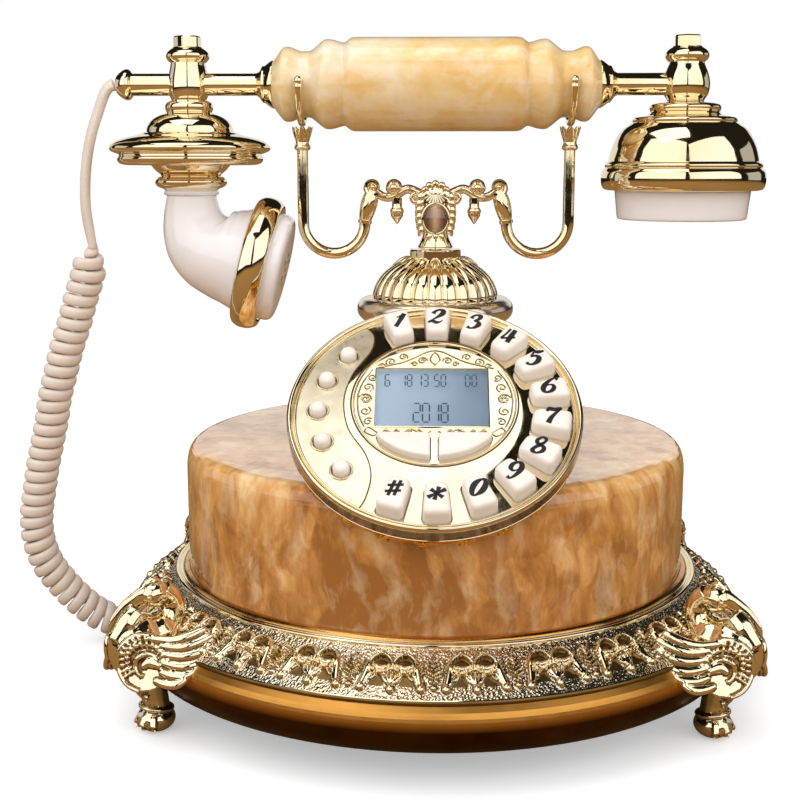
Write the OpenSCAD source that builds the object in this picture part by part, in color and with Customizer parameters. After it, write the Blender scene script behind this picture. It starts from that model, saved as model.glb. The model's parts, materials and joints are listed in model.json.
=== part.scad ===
// Antique-style desk telephone: round stone body on four swan feet, a tilted
// ring of push keys with a display, and a stone-handled handset on a cradle.
// +X is the user's right, -Y faces the user, +Z is up, z = 0 is the table.

/* [Base] */
// Largest radius of the plastic skirt
skirt_r = 122; // [121:0.5:123]
// Height of the skirt's lower edge above the table
skirt_bottom = 13.5; // [13.5:0.5:14]
// Height of the skirt's upper edge
skirt_top = 30.2; // [30:0.1:30.4]
// Angle of each foot from the left-right line
foot_angle = 35.8; // [30:0.2:42]

/* [Stone drum] */
// Outer radius of the stone drum
drum_r = 97.6; // [96:0.2:98]
// Underside of the drum
drum_bottom = 45.4; // [45.4:0.1:45.6]
// Top face of the drum
drum_top = 93.6; // [93:0.1:94]
// Wall thickness of the drum
drum_wall = 9; // [7:0.5:10]

/* [Dial] */
// Radius of the dial housing
dial_r = 50.2; // [50:0.1:50.4]
// Tilt of the dial face from horizontal
dial_tilt = 38; // [37:0.5:39]
// Distance of the dial centre in front of the axis
dial_front = 75; // [74.5:0.5:76]
// Height of the dial centre
dial_height = 117.7; // [117:0.1:118.5]
// Thickness of the dial plate
plate_t = 2.5; // [2:0.1:2.5]

/* [Keys] */
// Radius of the ring of keys
key_ring_r = 39.7; // [39.5:0.1:40]
// How far the keys stand above the dial plate
key_height = 5; // [3:0.5:6]
// Key travel
key_travel = 1.5; // [1:0.1:1.5]
// Key width at its outer end
key_outer_w = 9.6; // [8:0.2:9.8]
// Key width at its inner end
key_inner_w = 7.2; // [6:0.2:7.6]
// Key length along the radius
key_length = 13.2; // [12:0.2:13.2]

/* [Cradle] */
// Distance of each fork arm from the axis
arm_x = 51.2; // [50.6:0.2:51.4]
// Radius of the arm tube
arm_r = 2.15; // [2:0.05:2.2]
// Radius of the U bend at the bottom of each arm
bend_r = 12; // [11.8:0.1:12.1]
// Radius of the fork's curve around the handset axis
fork_r = 14.4; // [14.2:0.1:14.6]
// Radius of the fork wire
fork_wire_r = 1.4; // [1.2:0.1:1.4]

/* [Handset] */
// Height of the handset axis
handset_z = 229.6; // [229.4:0.1:230]
// Distance of each post from the middle of the handset
post_x = 94.5; // [94:0.5:95]
// Radius of the grip's middle
grip_r = 17.5; // [17:0.1:17.6]
// Half the length of the stone grip
grip_half = 61.9; // [61.5:0.1:62]
// Radius of the handset tube
tube_r = 4.15; // [4:0.05:4.2]
// Downward tilt of the mouthpiece
mouth_tilt = 14; // [13.5:0.5:14.5]

/* [Cord] */
// Width of the flat cord
cord_d = 4.6; // [4:0.2:4.8]
// Outside diameter of the curly stretch
coil_d = 13.6; // [13:0.2:14]

/* [Hidden] */
$fn = 96;
GAP = 0.4;
GOLD = "goldenrod";
CREAM = "ivory";
STONE = "burlywood";

skirt_wall = 3.6;
base_plate_z = skirt_bottom;
base_plate_t = 2;
base_floor = base_plate_z + base_plate_t;
board_z = 21;
screw_r = 1.4;
screw_ring_r = 109.5;
screw_angles = [25, 75, 105, 155, 240, 300];
speaker_y = -68;

bowl_depth = 22;
bowl_lip_r = 49;
face_r = 48.8;
key_step = 19.73;
key_first = -18.5;
button_step = 20;
button_first = -50;
button_r = 2.9;
oval_r = 26;
oval_v = 4.3;
lcd_w = 38.9;
lcd_h = 26.6;
lcd_u = -1;
lcd_v = 6;
flange_t = 1;
flange_grow = 1;
flange_top = -plate_t - GAP;
sheet_z = flange_top - flange_t - key_travel - 0.6 - 1;

dome_bottom = 148.8;
octagon_bottom = 163.5;
octagon_top = 167.3;
stem_bottom = octagon_top + GAP;
plunger_r = 2.4;
plunger_tip = 74.4;
spring_floor = 100;
spring_len = 15.6;
bend_z = 177.6;
sleeve_x = arm_x - 2 * bend_r;

neck_r = 12.3;
rim_back = [-73.6, 0, 162.8];
rim_len = 9.7;
horn_wall = 2.2;

// Handset cord: straight lead, curly stretch and tail, from knob to plug.
lead_route = [
    [-123.3, 0, 229.6], [-124.4, 0, 229.4], [-126.8, 0, 226.6], [-129.6, 0.5, 220], [-132.5, 0.5, 212],
    [-134.8, 1, 203], [-136, 1, 194], [-136.4, 1.2, 185], [-135.8, 1.5, 177], [-134, 2, 169]];
coil_route = [
    [-134.4, 2.1, 167.5], [-137, 2.5, 157], [-140.5, 3, 147], [-143.5, 3.5, 137.5], [-147, 4, 128],
    [-150, 4.5, 118], [-153, 5, 108], [-155, 5.5, 98], [-157.5, 6, 88], [-160, 6.5, 78],
    [-162, 7, 68], [-163.8, 7.5, 58], [-163.8, 8, 47.5], [-161, 9.5, 36.5], [-155.5, 11.5, 27],
    [-148.5, 13, 18.5], [-140, 15.5, 11], [-130.5, 18.5, 7.4]];
tail_route = [
    [-129.8, 18.7, 7.2], [-127, 19.5, 6.3], [-122, 20.5, 5.8], [-116, 21, 6.4], [-112, 21, 6.9],
    [-110.5, 21, 7]];
jack_y = 21;
jack_x = -94;

// ---------- helpers ----------

// Cuts each corner of an open outline twice, so that it turns smoothly.
function cut_once(p) = [
    p[0],
    for (i = [0:len(p) - 2]) each [0.75 * p[i] + 0.25 * p[i + 1], 0.25 * p[i] + 0.75 * p[i + 1]],
    p[len(p) - 1]];
function smooth(p) = cut_once(cut_once(p));

// Solid turned about Z from an outline of [radius, height] points, top to bottom or back.
module turned(outline) {
    last = len(outline) - 1;
    rotate_extrude()
        polygon(concat([[0, outline[0][1]]], outline, [[0, outline[last][1]]]));
}

// Places its children at each angle on a circle of radius r.
module around(angles, r) {
    for (a = angles) rotate([0, 0, a]) translate([r, 0, 0]) children();
}

module both_sides() {
    for (side = [0, 1]) mirror([side, 0, 0]) children();
}

function unit(v) = v / norm(v);
function heading(p, i) = unit(p[min(i + 1, len(p) - 1)] - p[max(i - 1, 0)]);
function ring_points(p, i, rad, n, ref) =
    let (t = heading(p, i), u = unit(cross(t, ref)), w = cross(t, u))
    [for (k = [0:n - 1]) p[i] + rad * (cos(360 * k / n) * u + sin(360 * k / n) * w)];

// Tube of round section along a list of points, with a radius for each point.
module sweep(path, radii, sides, ref) {
    n = len(path);
    points = [for (i = [0:n - 1]) each ring_points(path, i, radii[i], sides, ref)];
    walls = [
        for (i = [0:n - 2], k = [0:sides - 1])
            let (a = i * sides + k, b = i * sides + (k + 1) % sides)
                each [[a, a + sides, b + sides], [a, b + sides, b]]];
    first = [for (k = [0:sides - 1]) k];
    last = [for (k = [0:sides - 1]) n * sides - 1 - k];
    polyhedron(points, concat([first], walls, [last]));
}

module tube_sweep(path, rad, sides) {
    sweep(path, [for (p = path) rad], sides, [0, 1, 0]);
}

// ---------- base ----------

module base_plate() color("dimgray") {
    difference() {
        union() {
            translate([0, 0, base_plate_z]) cylinder(r = 114.6, h = base_plate_t);
            for (x = [-52, 52], y = [4, 70])
                translate([x, y, base_floor]) cylinder(r = 3, h = board_z - base_floor);
        }
        around(screw_angles, screw_ring_r)
            translate([0, 0, base_plate_z - 1]) cylinder(r = 1.7, h = 4);
        for (row = [-3:3])
            translate([-17, speaker_y + row * 6 - 1, base_plate_z - 1]) cube([34, 2, 4]);
    }
}

// Outer surface of skirt and frieze, used to trim whatever stands against them.
module base_envelope(grow) {
    rotate_extrude()
        polygon([
            [0, skirt_bottom - grow], [118 + grow, skirt_bottom - grow],
            [skirt_r + grow, 20], [skirt_r + grow, 26.5], [119.2 + grow, skirt_top + 1.4],
            [102.6 + grow, 44.4], [100 + grow, 46], [0, 46]]);
}

module base_skirt() color("peru") difference() {
    union() {
        rotate_extrude()
            polygon(concat(
                smooth([[115, skirt_bottom], [118, skirt_bottom], [skirt_r - 0.6, 18],
                        [skirt_r, 22.5], [skirt_r - 0.6, 27.5], [118.8, skirt_top]]),
                [[114.6, skirt_top], [114.6, 27.6], [skirt_r - skirt_wall, 25],
                 [skirt_r - skirt_wall, 20], [115, 16.5]]));
        around(screw_angles, screw_ring_r)
            translate([0, 0, base_floor]) cylinder(r = 6.8, h = 13.6);
    }
    around(screw_angles, screw_ring_r)
        translate([0, 0, base_floor - 1]) cylinder(r = 1.5, h = 12);
    line_jack_window();
}

module frieze_band() color(GOLD)
    rotate_extrude()
        polygon([
            [108, skirt_top], [119, skirt_top], [119.3, 31.2], [118.6, 32.1], [103, 43.4],
            [102.6, 44.6], [101.6, 45.1], [100.6, 44.7], [100.2, 44.4], [99.6, drum_bottom - 1],
            [99.2, drum_bottom], [90, drum_bottom], [90, drum_bottom - 2.4],
            [98.6, drum_bottom - 2.4], [113.6, 32], [108, 32]]);

module onyx_drum() color(STONE) difference() {
    turned(concat(
        [[drum_r, drum_bottom]],
        smooth([[drum_r, drum_top - 14], [drum_r, drum_top - 6.4], [drum_r - 1.4, drum_top - 2],
                [drum_r - 4.4, drum_top], [drum_r - 12, drum_top]])));
    translate([0, 0, drum_bottom - 1])
        cylinder(r = drum_r - drum_wall, h = drum_top - drum_wall - drum_bottom + 1);
    cylinder(r = 7, h = drum_top + 1);
    on_dial() translate([0, 0, -bowl_depth - 14]) cylinder(r = 7, h = 20);
    on_dial() bowl_envelope();
}

module pillar() color(GOLD) difference() {
    turned(concat(
        [[30.5, drum_top]],
        smooth([[31, 96], [28, 99], [19, 101.5], [14.5, 106], [12.5, 115], [13, 126],
                [16, 133], [24, 137.5], [28.4, 140.2], [30.4, 142.6], [30.4, 146],
                [28.6, 148.4]]),
        [[25, dome_bottom]]));
    cylinder(r = 3.2, h = 200);
    translate([0, 0, spring_floor]) cylinder(r = 5.8, h = 60);
}

module fluted_dome() color(GOLD) difference() {
    union() {
        turned(smooth([[24.4, dome_bottom], [24.4, 151], [21.5, 157], [15, 161.8],
                       [10.4, octagon_bottom]]));
        translate([0, 0, octagon_bottom])
            rotate([0, 0, 22.5])
                cylinder(r = 10.6, h = octagon_top - octagon_bottom, $fn = 8);
    }
    cylinder(r = 3.2, h = 200);
}

// Swan in its own frame: x outward, z up, foot on the table at the origin.
module swan_shape() {
    cylinder(r = 6.5, h = 3.5);
    hull() {
        translate([0, 0, 3]) cylinder(r = 6.4, h = 1, $fn = 18);
        translate([0, 0, 11]) sphere(r = 4.8, $fn = 18);
    }
    hull() {
        translate([0, 0, 10]) sphere(r = 4.8, $fn = 18);
        translate([3, 0, 25]) sphere(r = 8, $fn = 18);
    }
    hull() {
        translate([6, 0, 32.5]) sphere(r = 12, $fn = 20);
        translate([-1, 0, 36]) sphere(r = 9, $fn = 18);
        translate([4, 0, 44]) sphere(r = 5.6, $fn = 18);
    }
    hull() {
        translate([4, 0, 44]) sphere(r = 5.4, $fn = 18);
        translate([-1, 0, 50]) sphere(r = 5.2, $fn = 18);
        translate([12, 0, 43]) sphere(r = 2, $fn = 14);
    }
    for (side = [0, 1])
        mirror([0, side, 0])
            hull() {
                translate([4, 8, 32]) sphere(r = 6.5, $fn = 18);
                translate([-8, 22, 38.5]) sphere(r = 3.5, $fn = 14);
                translate([-3, 19, 31]) sphere(r = 3, $fn = 14);
            }
}

module swan(angle) color(GOLD) difference() {
    rotate([0, 0, angle]) translate([skirt_r, 0, 0]) swan_shape();
    base_envelope(0.2);
}

module swan_foot_front_left() swan(180 + foot_angle);
module swan_foot_front_right() swan(-foot_angle);
module swan_foot_rear_left() swan(180 - foot_angle);
module swan_foot_rear_right() swan(foot_angle);

// ---------- inside the base ----------

module main_board() color("seagreen") {
    translate([-60, -4, board_z]) cube([120, 82, 1.6]);
    translate([-40, 12, board_z + 1.6]) cube([18, 18, 2]);
    translate([10, 20, board_z + 1.6]) cube([14, 8, 1.5]);
    for (x = [-46, -34, -22]) translate([x, 58, board_z + 1.6]) cylinder(r = 4, h = 11);
    translate([24, 44, board_z + 1.6]) cube([20, 16, 15]);
}

module base_speaker() color("gray")
    translate([0, speaker_y, base_floor])
        turned([[28, 0], [28, 1.6], [26, 1.6], [16, 7], [15, 7], [15, 13]]);

module line_jack_window()
    translate([-8.4, 108, 17]) cube([16.8, 20, 9.6]);

module line_jack() color("dimgray") difference() {
    union() {
        translate([-8, 104, base_floor]) cube([16, 9.4, 12]);
        translate([-8, 104, 17.3]) cube([16, 17.4, 9]);
    }
    translate([-4.9, 108, 18.2]) cube([9.8, 20, 7.2]);
}

module handset_jack() color("dimgray") difference() {
    translate([jack_x - 12, jack_y - 8, 1.8]) cube([20, 16, base_plate_z - 1.8]);
    translate([jack_x - 13, jack_y - 5.3, 3.4]) cube([12, 10.6, 7.4]);
}

module case_screws() color("silver")
    around(screw_angles, screw_ring_r) {
        translate([0, 0, base_plate_z - 1.4]) cylinder(r = 3, h = 1.4);
        translate([0, 0, base_plate_z - 0.1]) cylinder(r = screw_r, h = 11);
    }

module hook_switch() color("black") {
    both_sides() {
        translate([9, -6, 60]) cube([3, 12, drum_top - drum_wall - 60]);
    }
    translate([-10, -6, 60]) cube([20, 12, 12]);
    translate([0, 0, 71]) cylinder(r = 2.2, h = 3);
}

module hook_spring() color("silver") {
    turns = 6;
    steps = 14;
    wire_r = 0.5;
    helix = [
        for (i = [0:turns * steps])
            [4.4 * cos(360 * i / steps), 4.4 * sin(360 * i / steps),
             spring_floor + wire_r + 0.1 + (spring_len - 2 * wire_r - 0.2) * i / (turns * steps)]];
    sweep(helix, [for (p = helix) wire_r], 6, [0, 0, 1]);
}

// ---------- dial ----------

// Dial frame: x to the right, y up the slope, z out of the face.
module on_dial() {
    translate([0, -dial_front, dial_height]) rotate([dial_tilt, 0, 0]) children();
}

bowl_side = [
    [dial_r, -6], [48.8, -6.8], [47.6, -8.6], [44.4, -12.6], [38, -17], [30, -20],
    [20, -21.7], [12, -bowl_depth]];

module bowl_envelope()
    turned(concat(
        [[dial_r + 0.5, 30]],
        [for (p = bowl_side) [p[0] + 0.5, p[1] - 0.5]]));

module dial_bowl() color(GOLD) difference() {
    union() {
        on_dial()
            rotate_extrude()
                polygon(concat(
                    [[bowl_lip_r, 0.2], [49.6, 0.7], [dial_r, 0.2]], bowl_side,
                    [[0, -bowl_depth], [0, 2 - bowl_depth], [20, -19.6], [30, -17.9],
                     [37, -15], [43, -10.8], [46.4, -7], [47.9, -5.6], [47.9, -plate_t],
                     [bowl_lip_r, -plate_t]]));
        difference() {
            on_dial() translate([0, 0, -bowl_depth - 24]) cylinder(r = 12, h = 24.5);
            translate([-40, -110, drum_top - 60]) cube([80, 110, 60]);
        }
    }
    on_dial() translate([0, 0, -bowl_depth - 30]) cylinder(r = 5, h = 40);
}

// Places its children at a key's position, with y pointing outward.
module at_clock(angle) rotate([0, 0, -angle]) translate([0, key_ring_r, 0]) children();

// Key outline: wider at its outer end, with cut corners.
module key_outline(grow) {
    half = key_length / 2 + grow;
    wide = key_outer_w / 2 + grow;
    slim = key_inner_w / 2 + grow;
    cut = 1.8;
    polygon([
        [-wide + cut, half], [wide - cut, half], [wide, half - cut], [slim, cut - half],
        [slim - cut, -half], [cut - slim, -half], [-slim, cut - half], [-wide, half - cut]]);
}

// Outline of one half-moon key, right of the middle.
module moon_outline(grow) intersection() {
    translate([0, oval_v]) circle(r = oval_r + grow);
    translate([1.4 - grow, -30]) square([17.8 + 2 * grow, 18.5 + grow]);
}

// A key from its outline: the part above the plate and the flange below it.
module key_body(top) {
    translate([0, 0, flange_top - flange_t]) linear_extrude(flange_t) children(1);
    translate([0, 0, flange_top]) linear_extrude(top - flange_top) children(0);
}

module digit_key(i) color(CREAM)
    on_dial() at_clock(key_first + key_step * i)
        key_body(key_height) {
            key_outline(0);
            key_outline(flange_grow);
        }

module moon_key(side) color(CREAM)
    on_dial() mirror([side, 0, 0])
        key_body(3) {
            moon_outline(0);
            moon_outline(0.6);
        }

module side_button(i) color(CREAM)
    on_dial() at_clock(button_first - button_step * i) {
        translate([0, 0, flange_top - flange_t]) cylinder(r = button_r + 1.1, h = flange_t);
        translate([0, 0, flange_top - 0.1]) cylinder(r = button_r, h = 2 - flange_top);
        translate([0, 0, 1.8]) intersection() {
            translate([0, 0, -2.6]) sphere(r = 3.9);
            cylinder(r = button_r, h = 4);
        }
    }

module key_1() digit_key(0);
module key_2() digit_key(1);
module key_3() digit_key(2);
module key_4() digit_key(3);
module key_5() digit_key(4);
module key_6() digit_key(5);
module key_7() digit_key(6);
module key_8() digit_key(7);
module key_9() digit_key(8);
module key_0() digit_key(9);
module key_star() digit_key(10);
module key_hash() digit_key(11);
module key_speaker() moon_key(1);
module key_redial() moon_key(0);
module button_up() side_button(0);
module button_down() side_button(1);
module button_delete() side_button(2);
module button_out() side_button(3);
module button_set() side_button(4);

module dial_face() color(GOLD) on_dial() difference() {
    translate([0, 0, -plate_t]) cylinder(r = face_r, h = plate_t);
    translate([0, 0, -plate_t - 1]) linear_extrude(plate_t + 2) {
        for (i = [0:11]) at_clock(key_first + key_step * i) key_outline(GAP);
        for (i = [0:4]) at_clock(button_first - button_step * i) circle(r = button_r + GAP);
        both_sides() moon_outline(0.35);
        translate([lcd_u - lcd_w / 2, lcd_v - lcd_h / 2]) square([lcd_w, lcd_h]);
    }
}

module lcd_window() color("lightblue", 0.5)
    on_dial() translate([lcd_u + 0.05 - lcd_w / 2, lcd_v - lcd_h / 2 + 0.05, -2.4])
        cube([lcd_w - 0.1, lcd_h - 0.1, 2]);

module lcd_module() color("lightslategray")
    on_dial() translate([lcd_u - 21, lcd_v - 14.3, -5.6]) cube([42, 28.6, 3]);

module keypad_sheet() color("gray") on_dial() difference() {
    translate([0, 0, sheet_z]) cylinder(r = 45.2, h = 1);
    translate([lcd_u - 22, lcd_v - 15, sheet_z - 1]) cube([44, 30, 3]);
}

module keypad_board() color("seagreen")
    on_dial() translate([0, 0, sheet_z - 1.6]) cylinder(r = 44, h = 1.6);

// ---------- cradle ----------

module cradle_stem() color(GOLD) {
    turned([[6.6, stem_bottom], [6.2, 171], [5, 174], [5, 184]]);
    translate([0, 0, 180.5]) rotate([90, 0, 0]) cylinder(r = 9, h = 11, center = true);
    translate([0, 0, 188.2]) rotate([90, 0, 0]) cylinder(r = 4.6, h = 6, center = true);
    both_sides() {
        translate([6, 0, 188.2]) rotate([0, 90, 0]) cylinder(r = 1.9, h = 16);
        translate([24, 0, 191]) rotate([90, 0, 0]) cylinder(r = 3.2, h = 6.4, center = true);
        translate([16, 0, 190.6]) sphere(r = 3.4);
        translate([15, 0, 180]) cylinder(r = 2.4, h = 7.4);
        translate([15, 0, 177]) cylinder(r1 = 0.4, r2 = 2.4, h = 3);
    }
}

module cradle_arms() color(GOLD) both_sides() {
    sleeve_top = [25.6, 0, 186.9];
    sleeve_run = [sleeve_x, 0, bend_z] - sleeve_top;
    translate(sleeve_top)
        rotate([0, atan2(sleeve_run[0], sleeve_run[2]), 0])
            cylinder(r1 = 3.3, r2 = 2.7, h = norm(sleeve_run));
    translate([arm_x - bend_r, 0, bend_z])
        rotate([-90, 0, 0])
            rotate_extrude(angle = 180) translate([bend_r, 0]) circle(r = arm_r);
    translate([arm_x, 0, bend_z]) cylinder(r = arm_r, h = 206 - bend_z);
    translate([arm_x, 0, 0])
        turned([[2.2, 205.5], [3.2, 206.5], [2.4, 208], [3.6, 212], [2.6, 215]]);
    translate([arm_x, 0, handset_z])
        rotate([-90, 0, 90])
            rotate_extrude(angle = 180) translate([fork_r, 0]) circle(r = fork_wire_r);
    for (side = [-1, 1])
        translate([arm_x, side * fork_r, handset_z]) sphere(r = 1.7);
}

module cabochon() color("saddlebrown") intersection() {
    translate([0, -4.6, 179.4]) sphere(r = 5.4);
    translate([-10, -15.55, 170]) cube([20, 10, 20]);
}

module hook_plunger() color("silver") {
    translate([0, 0, plunger_tip]) cylinder(r = plunger_r, h = stem_bottom - plunger_tip);
    translate([0, 0, spring_floor + spring_len]) cylinder(r = 5.2, h = 2);
}

// ---------- handset ----------

// Turns children from the Z axis to the X axis at the handset's height.
module on_handset() translate([0, 0, handset_z]) rotate([0, 90, 0]) children();

grip_profile = [
    [8.8, grip_half], [9.2, 61.4], [13.6, 58.2], [14, 56.6], [13.8, 54.8], [12.4, 51.9],
    [neck_r, 50.6], [neck_r, 48.4], [12.6, 47.2], [16, 43.2], [16.8, 41.6], [16.6, 39],
    [15.4, 35.2], [15.6, 34.4], [17.2, 32.4], [grip_r, 30.6], [grip_r, 26]];

module onyx_grip() color(STONE) on_handset() difference() {
    turned(concat(
        cut_once(grip_profile),
        [for (i = [len(grip_profile) * 2 - 1:-1:0])
            let (q = cut_once(grip_profile)[i]) [q[0], -q[1]]]));
    cylinder(r = tube_r + 0.2, h = 200, center = true);
}

module handset_tube() color(GOLD) on_handset() difference() {
    union() {
        translate([0, 0, -119.5]) cylinder(r = tube_r, h = 119.5 + post_x + 6);
        for (side = [0, 1])
            mirror([0, 0, side])
                turned([[8.8, 61.95], [8.9, 62.8], [6.8, 65.2], [6.6, 65.8], [5.4, 66.8],
                        [5.2, 67.8], [tube_r, 68.4]]);
        mirror([0, 0, 1])
            turned([[tube_r, 116.4], [5.7, 117.4], [5.8, 118.4], [4.6, 120.4], [3.4, 122],
                    [2.6, 122.4]]);
    }
    translate([0, 0, -123]) cylinder(r = 2, h = 210);
}

finial = [[5.2, 247.5], [5.2, 243.4], [6, 242.6], [8.2, 241], [8.3, 239.4], [6.6, 237.4]];

module mic_post() color(GOLD) translate([-post_x, 0, 0]) difference() {
    turned(concat(
        finial,
        [[6.7, 236], [7.6, 232.5], [7.9, 229], [7.6, 226], [6.6, 223.8], [8.6, 222.6],
         [9.3, 221], [8.6, 218.8]],
        smooth([[9.4, 218.2], [14, 216.4], [16.4, 213.6], [16.6, 211.6]]),
        [[18.6, 211]],
        smooth([[19, 210.8], [25, 209.6], [29.6, 207.6], [31, 206.2], [30.4, 204.4],
                [28, 203.8]]),
        [[27.6, 203], [28, 201.4], [27, 199.6], [22, 199.2], [16, 199.6], [14.8, 199],
         [13.6, 197.4], [11.3, 195.6], [12.4, 194.8], [13.8, 193.4], [13.4, 191.8],
         [10.6, 190.4], [10, 189.6]]));
    translate([0, 0, handset_z]) rotate([0, 90, 0])
        cylinder(r = tube_r + 0.1, h = 40, center = true);
}

horn_path = [
    [-94.5, 0, 189.5], [-94.5, 0, 185.5], [-94.3, 0, 180.5], [-93.2, 0, 175.5],
    [-90.8, 0, 170.8], [-87, 0, 167.3], [-82.4, 0, 165.2], [-78, 0, 163.9], [-74.1, 0, 162.93]];
horn_radii = [9.8, 10, 11.2, 13, 15, 16.6, 17.8, 19, 20.6];

module mic_horn() color("white") difference() {
    last = len(horn_path) - 1;
    top_cap = horn_path[0] - heading(horn_path, 0);
    mouth_cap = horn_path[last] + heading(horn_path, last);
    inner = [for (r = horn_radii) r - horn_wall];
    sweep(horn_path, horn_radii, 32, [0, 1, 0]);
    sweep(concat([top_cap], horn_path, [mouth_cap]),
          concat([inner[0]], inner, [inner[last]]), 32, [0, 1, 0]);
}

// Mouthpiece frame: z along the axis of the horn's mouth.
module on_mouth() translate(rim_back) rotate([0, 90 + mouth_tilt, 0]) children();

module mic_rim() color(GOLD) on_mouth() rotate_extrude()
    polygon(concat(
        smooth([[22, -0.4], [24.6, -0.2], [26, 2.5], [26, 6], [24.6, 9.2], [23, rim_len]]),
        [[21.1, rim_len], [21.1, -0.4]]));

module mic_cap() color("white") on_mouth() difference() {
    turned(concat(
        [[20.9, 5]],
        smooth([[20.9, 9], [20.9, 12.6], [18, 15.2], [14, 15.2]])));
    translate([0, 0, 4]) cylinder(r = 18.6, h = 9);
    for (i = [0:5]) rotate([0, 0, 60 * i]) translate([6, 0, 10]) cylinder(r = 1, h = 8);
    translate([0, 0, 10]) cylinder(r = 1, h = 8);
}

module mic_capsule() color("dimgray") on_mouth()
    translate([0, 0, 6]) cylinder(r = 8, h = 6.5);

module ear_bell() color(GOLD) translate([post_x, 0, 0]) difference() {
    turned(concat(
        finial,
        [[6.8, 236.4], [8.4, 233], [9.1, 229.6], [8.6, 226], [6.8, 223.4], [8, 222.8],
         [13, 222], [13.5, 220.6], [13.3, 218.2], [14.6, 217.4], [19.4, 217.2], [19.7, 216],
         [19.4, 215]],
        smooth([[20.4, 214.6], [24, 212.4], [27, 207], [28.2, 202.4], [28.4, 200.4]]),
        [[29.4, 200], [29.8, 199], [29.4, 198.2]],
        smooth([[30, 198], [31, 196.4], [31, 192.4], [30.2, 190.2], [29, 189.9]])));
    translate([0, 0, 189]) cylinder(r = 26.2, h = 8);
    translate([0, 0, 196.9]) cylinder(r1 = 24, r2 = 16, h = 14);
    translate([0, 0, handset_z]) rotate([0, 90, 0])
        translate([0, 0, -20]) cylinder(r = tube_r + 0.1, h = 26.1);
}

module ear_cap() color("white") translate([post_x, 0, 0]) difference() {
    turned(concat(
        [[25.8, 196.6]],
        [[25.7, 189]],
        smooth([[24.8, 183], [24.1, 179.8], [22.4, 178.8], [19, 178.8]])));
    translate([0, 0, 181.4]) cylinder(r = 22, h = 20);
    for (i = [0:5]) rotate([0, 0, 60 * i]) translate([8, 0, 177]) cylinder(r = 1.2, h = 8);
    translate([0, 0, 177]) cylinder(r = 1.2, h = 8);
}

module ear_speaker() color("dimgray")
    translate([post_x, 0, 182]) turned([[20, 0], [20, 3], [13, 6], [13, 10]]);

// ---------- cord ----------

module cord_lead() color(CREAM) tube_sweep(lead_route, cord_d / 2, 8);
module cord_coil() color(CREAM) tube_sweep(coil_route, coil_d / 2, 12);
module cord_tail() color(CREAM) tube_sweep(tail_route, cord_d / 2, 8);

module cord_plug() color("gainsboro")
    translate([-110, jack_y - 4.8, 3.8]) cube([14, 9.6, 6.4]);

base_plate();
base_skirt();
frieze_band();
onyx_drum();
swan_foot_front_left();
swan_foot_front_right();
swan_foot_rear_left();
swan_foot_rear_right();
pillar();
fluted_dome();
dial_bowl();
dial_face();
lcd_module();
lcd_window();
keypad_sheet();
keypad_board();
main_board();
base_speaker();
line_jack();
handset_jack();
case_screws();
hook_switch();
hook_spring();
key_1();
key_2();
key_3();
key_4();
key_5();
key_6();
key_7();
key_8();
key_9();
key_0();
key_star();
key_hash();
key_speaker();
key_redial();
button_up();
button_down();
button_delete();
button_out();
button_set();
cradle_stem();
cradle_arms();
cabochon();
hook_plunger();
onyx_grip();
handset_tube();
mic_post();
mic_horn();
mic_rim();
mic_cap();
mic_capsule();
ear_bell();
ear_cap();
ear_speaker();
cord_lead();
cord_coil();
cord_tail();
cord_plug();
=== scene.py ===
"""Looks of an antique-style desk telephone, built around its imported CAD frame.

Outlines and paths are given in millimetres, as in the part's source, and become metres when a
piece is made. The camera, the shapes, the materials and the cord come first; then each section
builds one group of pieces, and the last one the studio.
"""

import json
import math

import bmesh
import bpy
import numpy as np
from mathutils import Matrix, Vector, geometry


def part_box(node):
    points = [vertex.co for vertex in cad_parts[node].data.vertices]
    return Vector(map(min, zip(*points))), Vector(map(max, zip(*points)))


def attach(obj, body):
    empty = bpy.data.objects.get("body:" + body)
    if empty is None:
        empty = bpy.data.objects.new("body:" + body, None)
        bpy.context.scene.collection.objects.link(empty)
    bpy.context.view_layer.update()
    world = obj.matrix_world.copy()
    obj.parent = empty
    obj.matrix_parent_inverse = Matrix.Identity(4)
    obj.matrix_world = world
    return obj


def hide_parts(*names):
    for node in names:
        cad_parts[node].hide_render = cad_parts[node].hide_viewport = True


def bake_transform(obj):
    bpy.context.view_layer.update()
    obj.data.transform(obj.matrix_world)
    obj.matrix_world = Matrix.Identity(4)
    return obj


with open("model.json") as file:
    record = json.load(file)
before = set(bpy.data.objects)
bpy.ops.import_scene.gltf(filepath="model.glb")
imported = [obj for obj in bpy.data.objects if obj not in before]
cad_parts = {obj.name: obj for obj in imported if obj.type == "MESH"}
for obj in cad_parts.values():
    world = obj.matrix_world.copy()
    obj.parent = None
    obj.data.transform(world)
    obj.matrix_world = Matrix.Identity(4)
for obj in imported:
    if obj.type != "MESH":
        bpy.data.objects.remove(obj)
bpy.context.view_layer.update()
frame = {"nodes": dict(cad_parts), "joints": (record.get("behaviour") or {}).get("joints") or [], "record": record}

MM = 0.001
CLEAN, FINE = 120, 144  # steps round a turned part
rng = np.random.default_rng(7)


# ---------- camera ----------

CAMERA_BACK = 0.511
CAMERA_HEIGHT = 0.2014
CAMERA_PITCH = math.radians(10.4)
CAMERA_YAW = math.radians(1.54)


def make_camera():
    data = bpy.data.cameras.new("camera")
    data.lens = 58.9
    data.sensor_width = 36
    camera = bpy.data.objects.new("camera", data)
    camera.location = (0.0, -CAMERA_BACK, CAMERA_HEIGHT)
    camera.rotation_euler = (math.pi / 2 - CAMERA_PITCH, 0, CAMERA_YAW)
    bpy.context.scene.collection.objects.link(camera)
    bpy.context.scene.camera = camera


make_camera()


# ---------- shapes: (points in mm, faces) ----------


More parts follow.
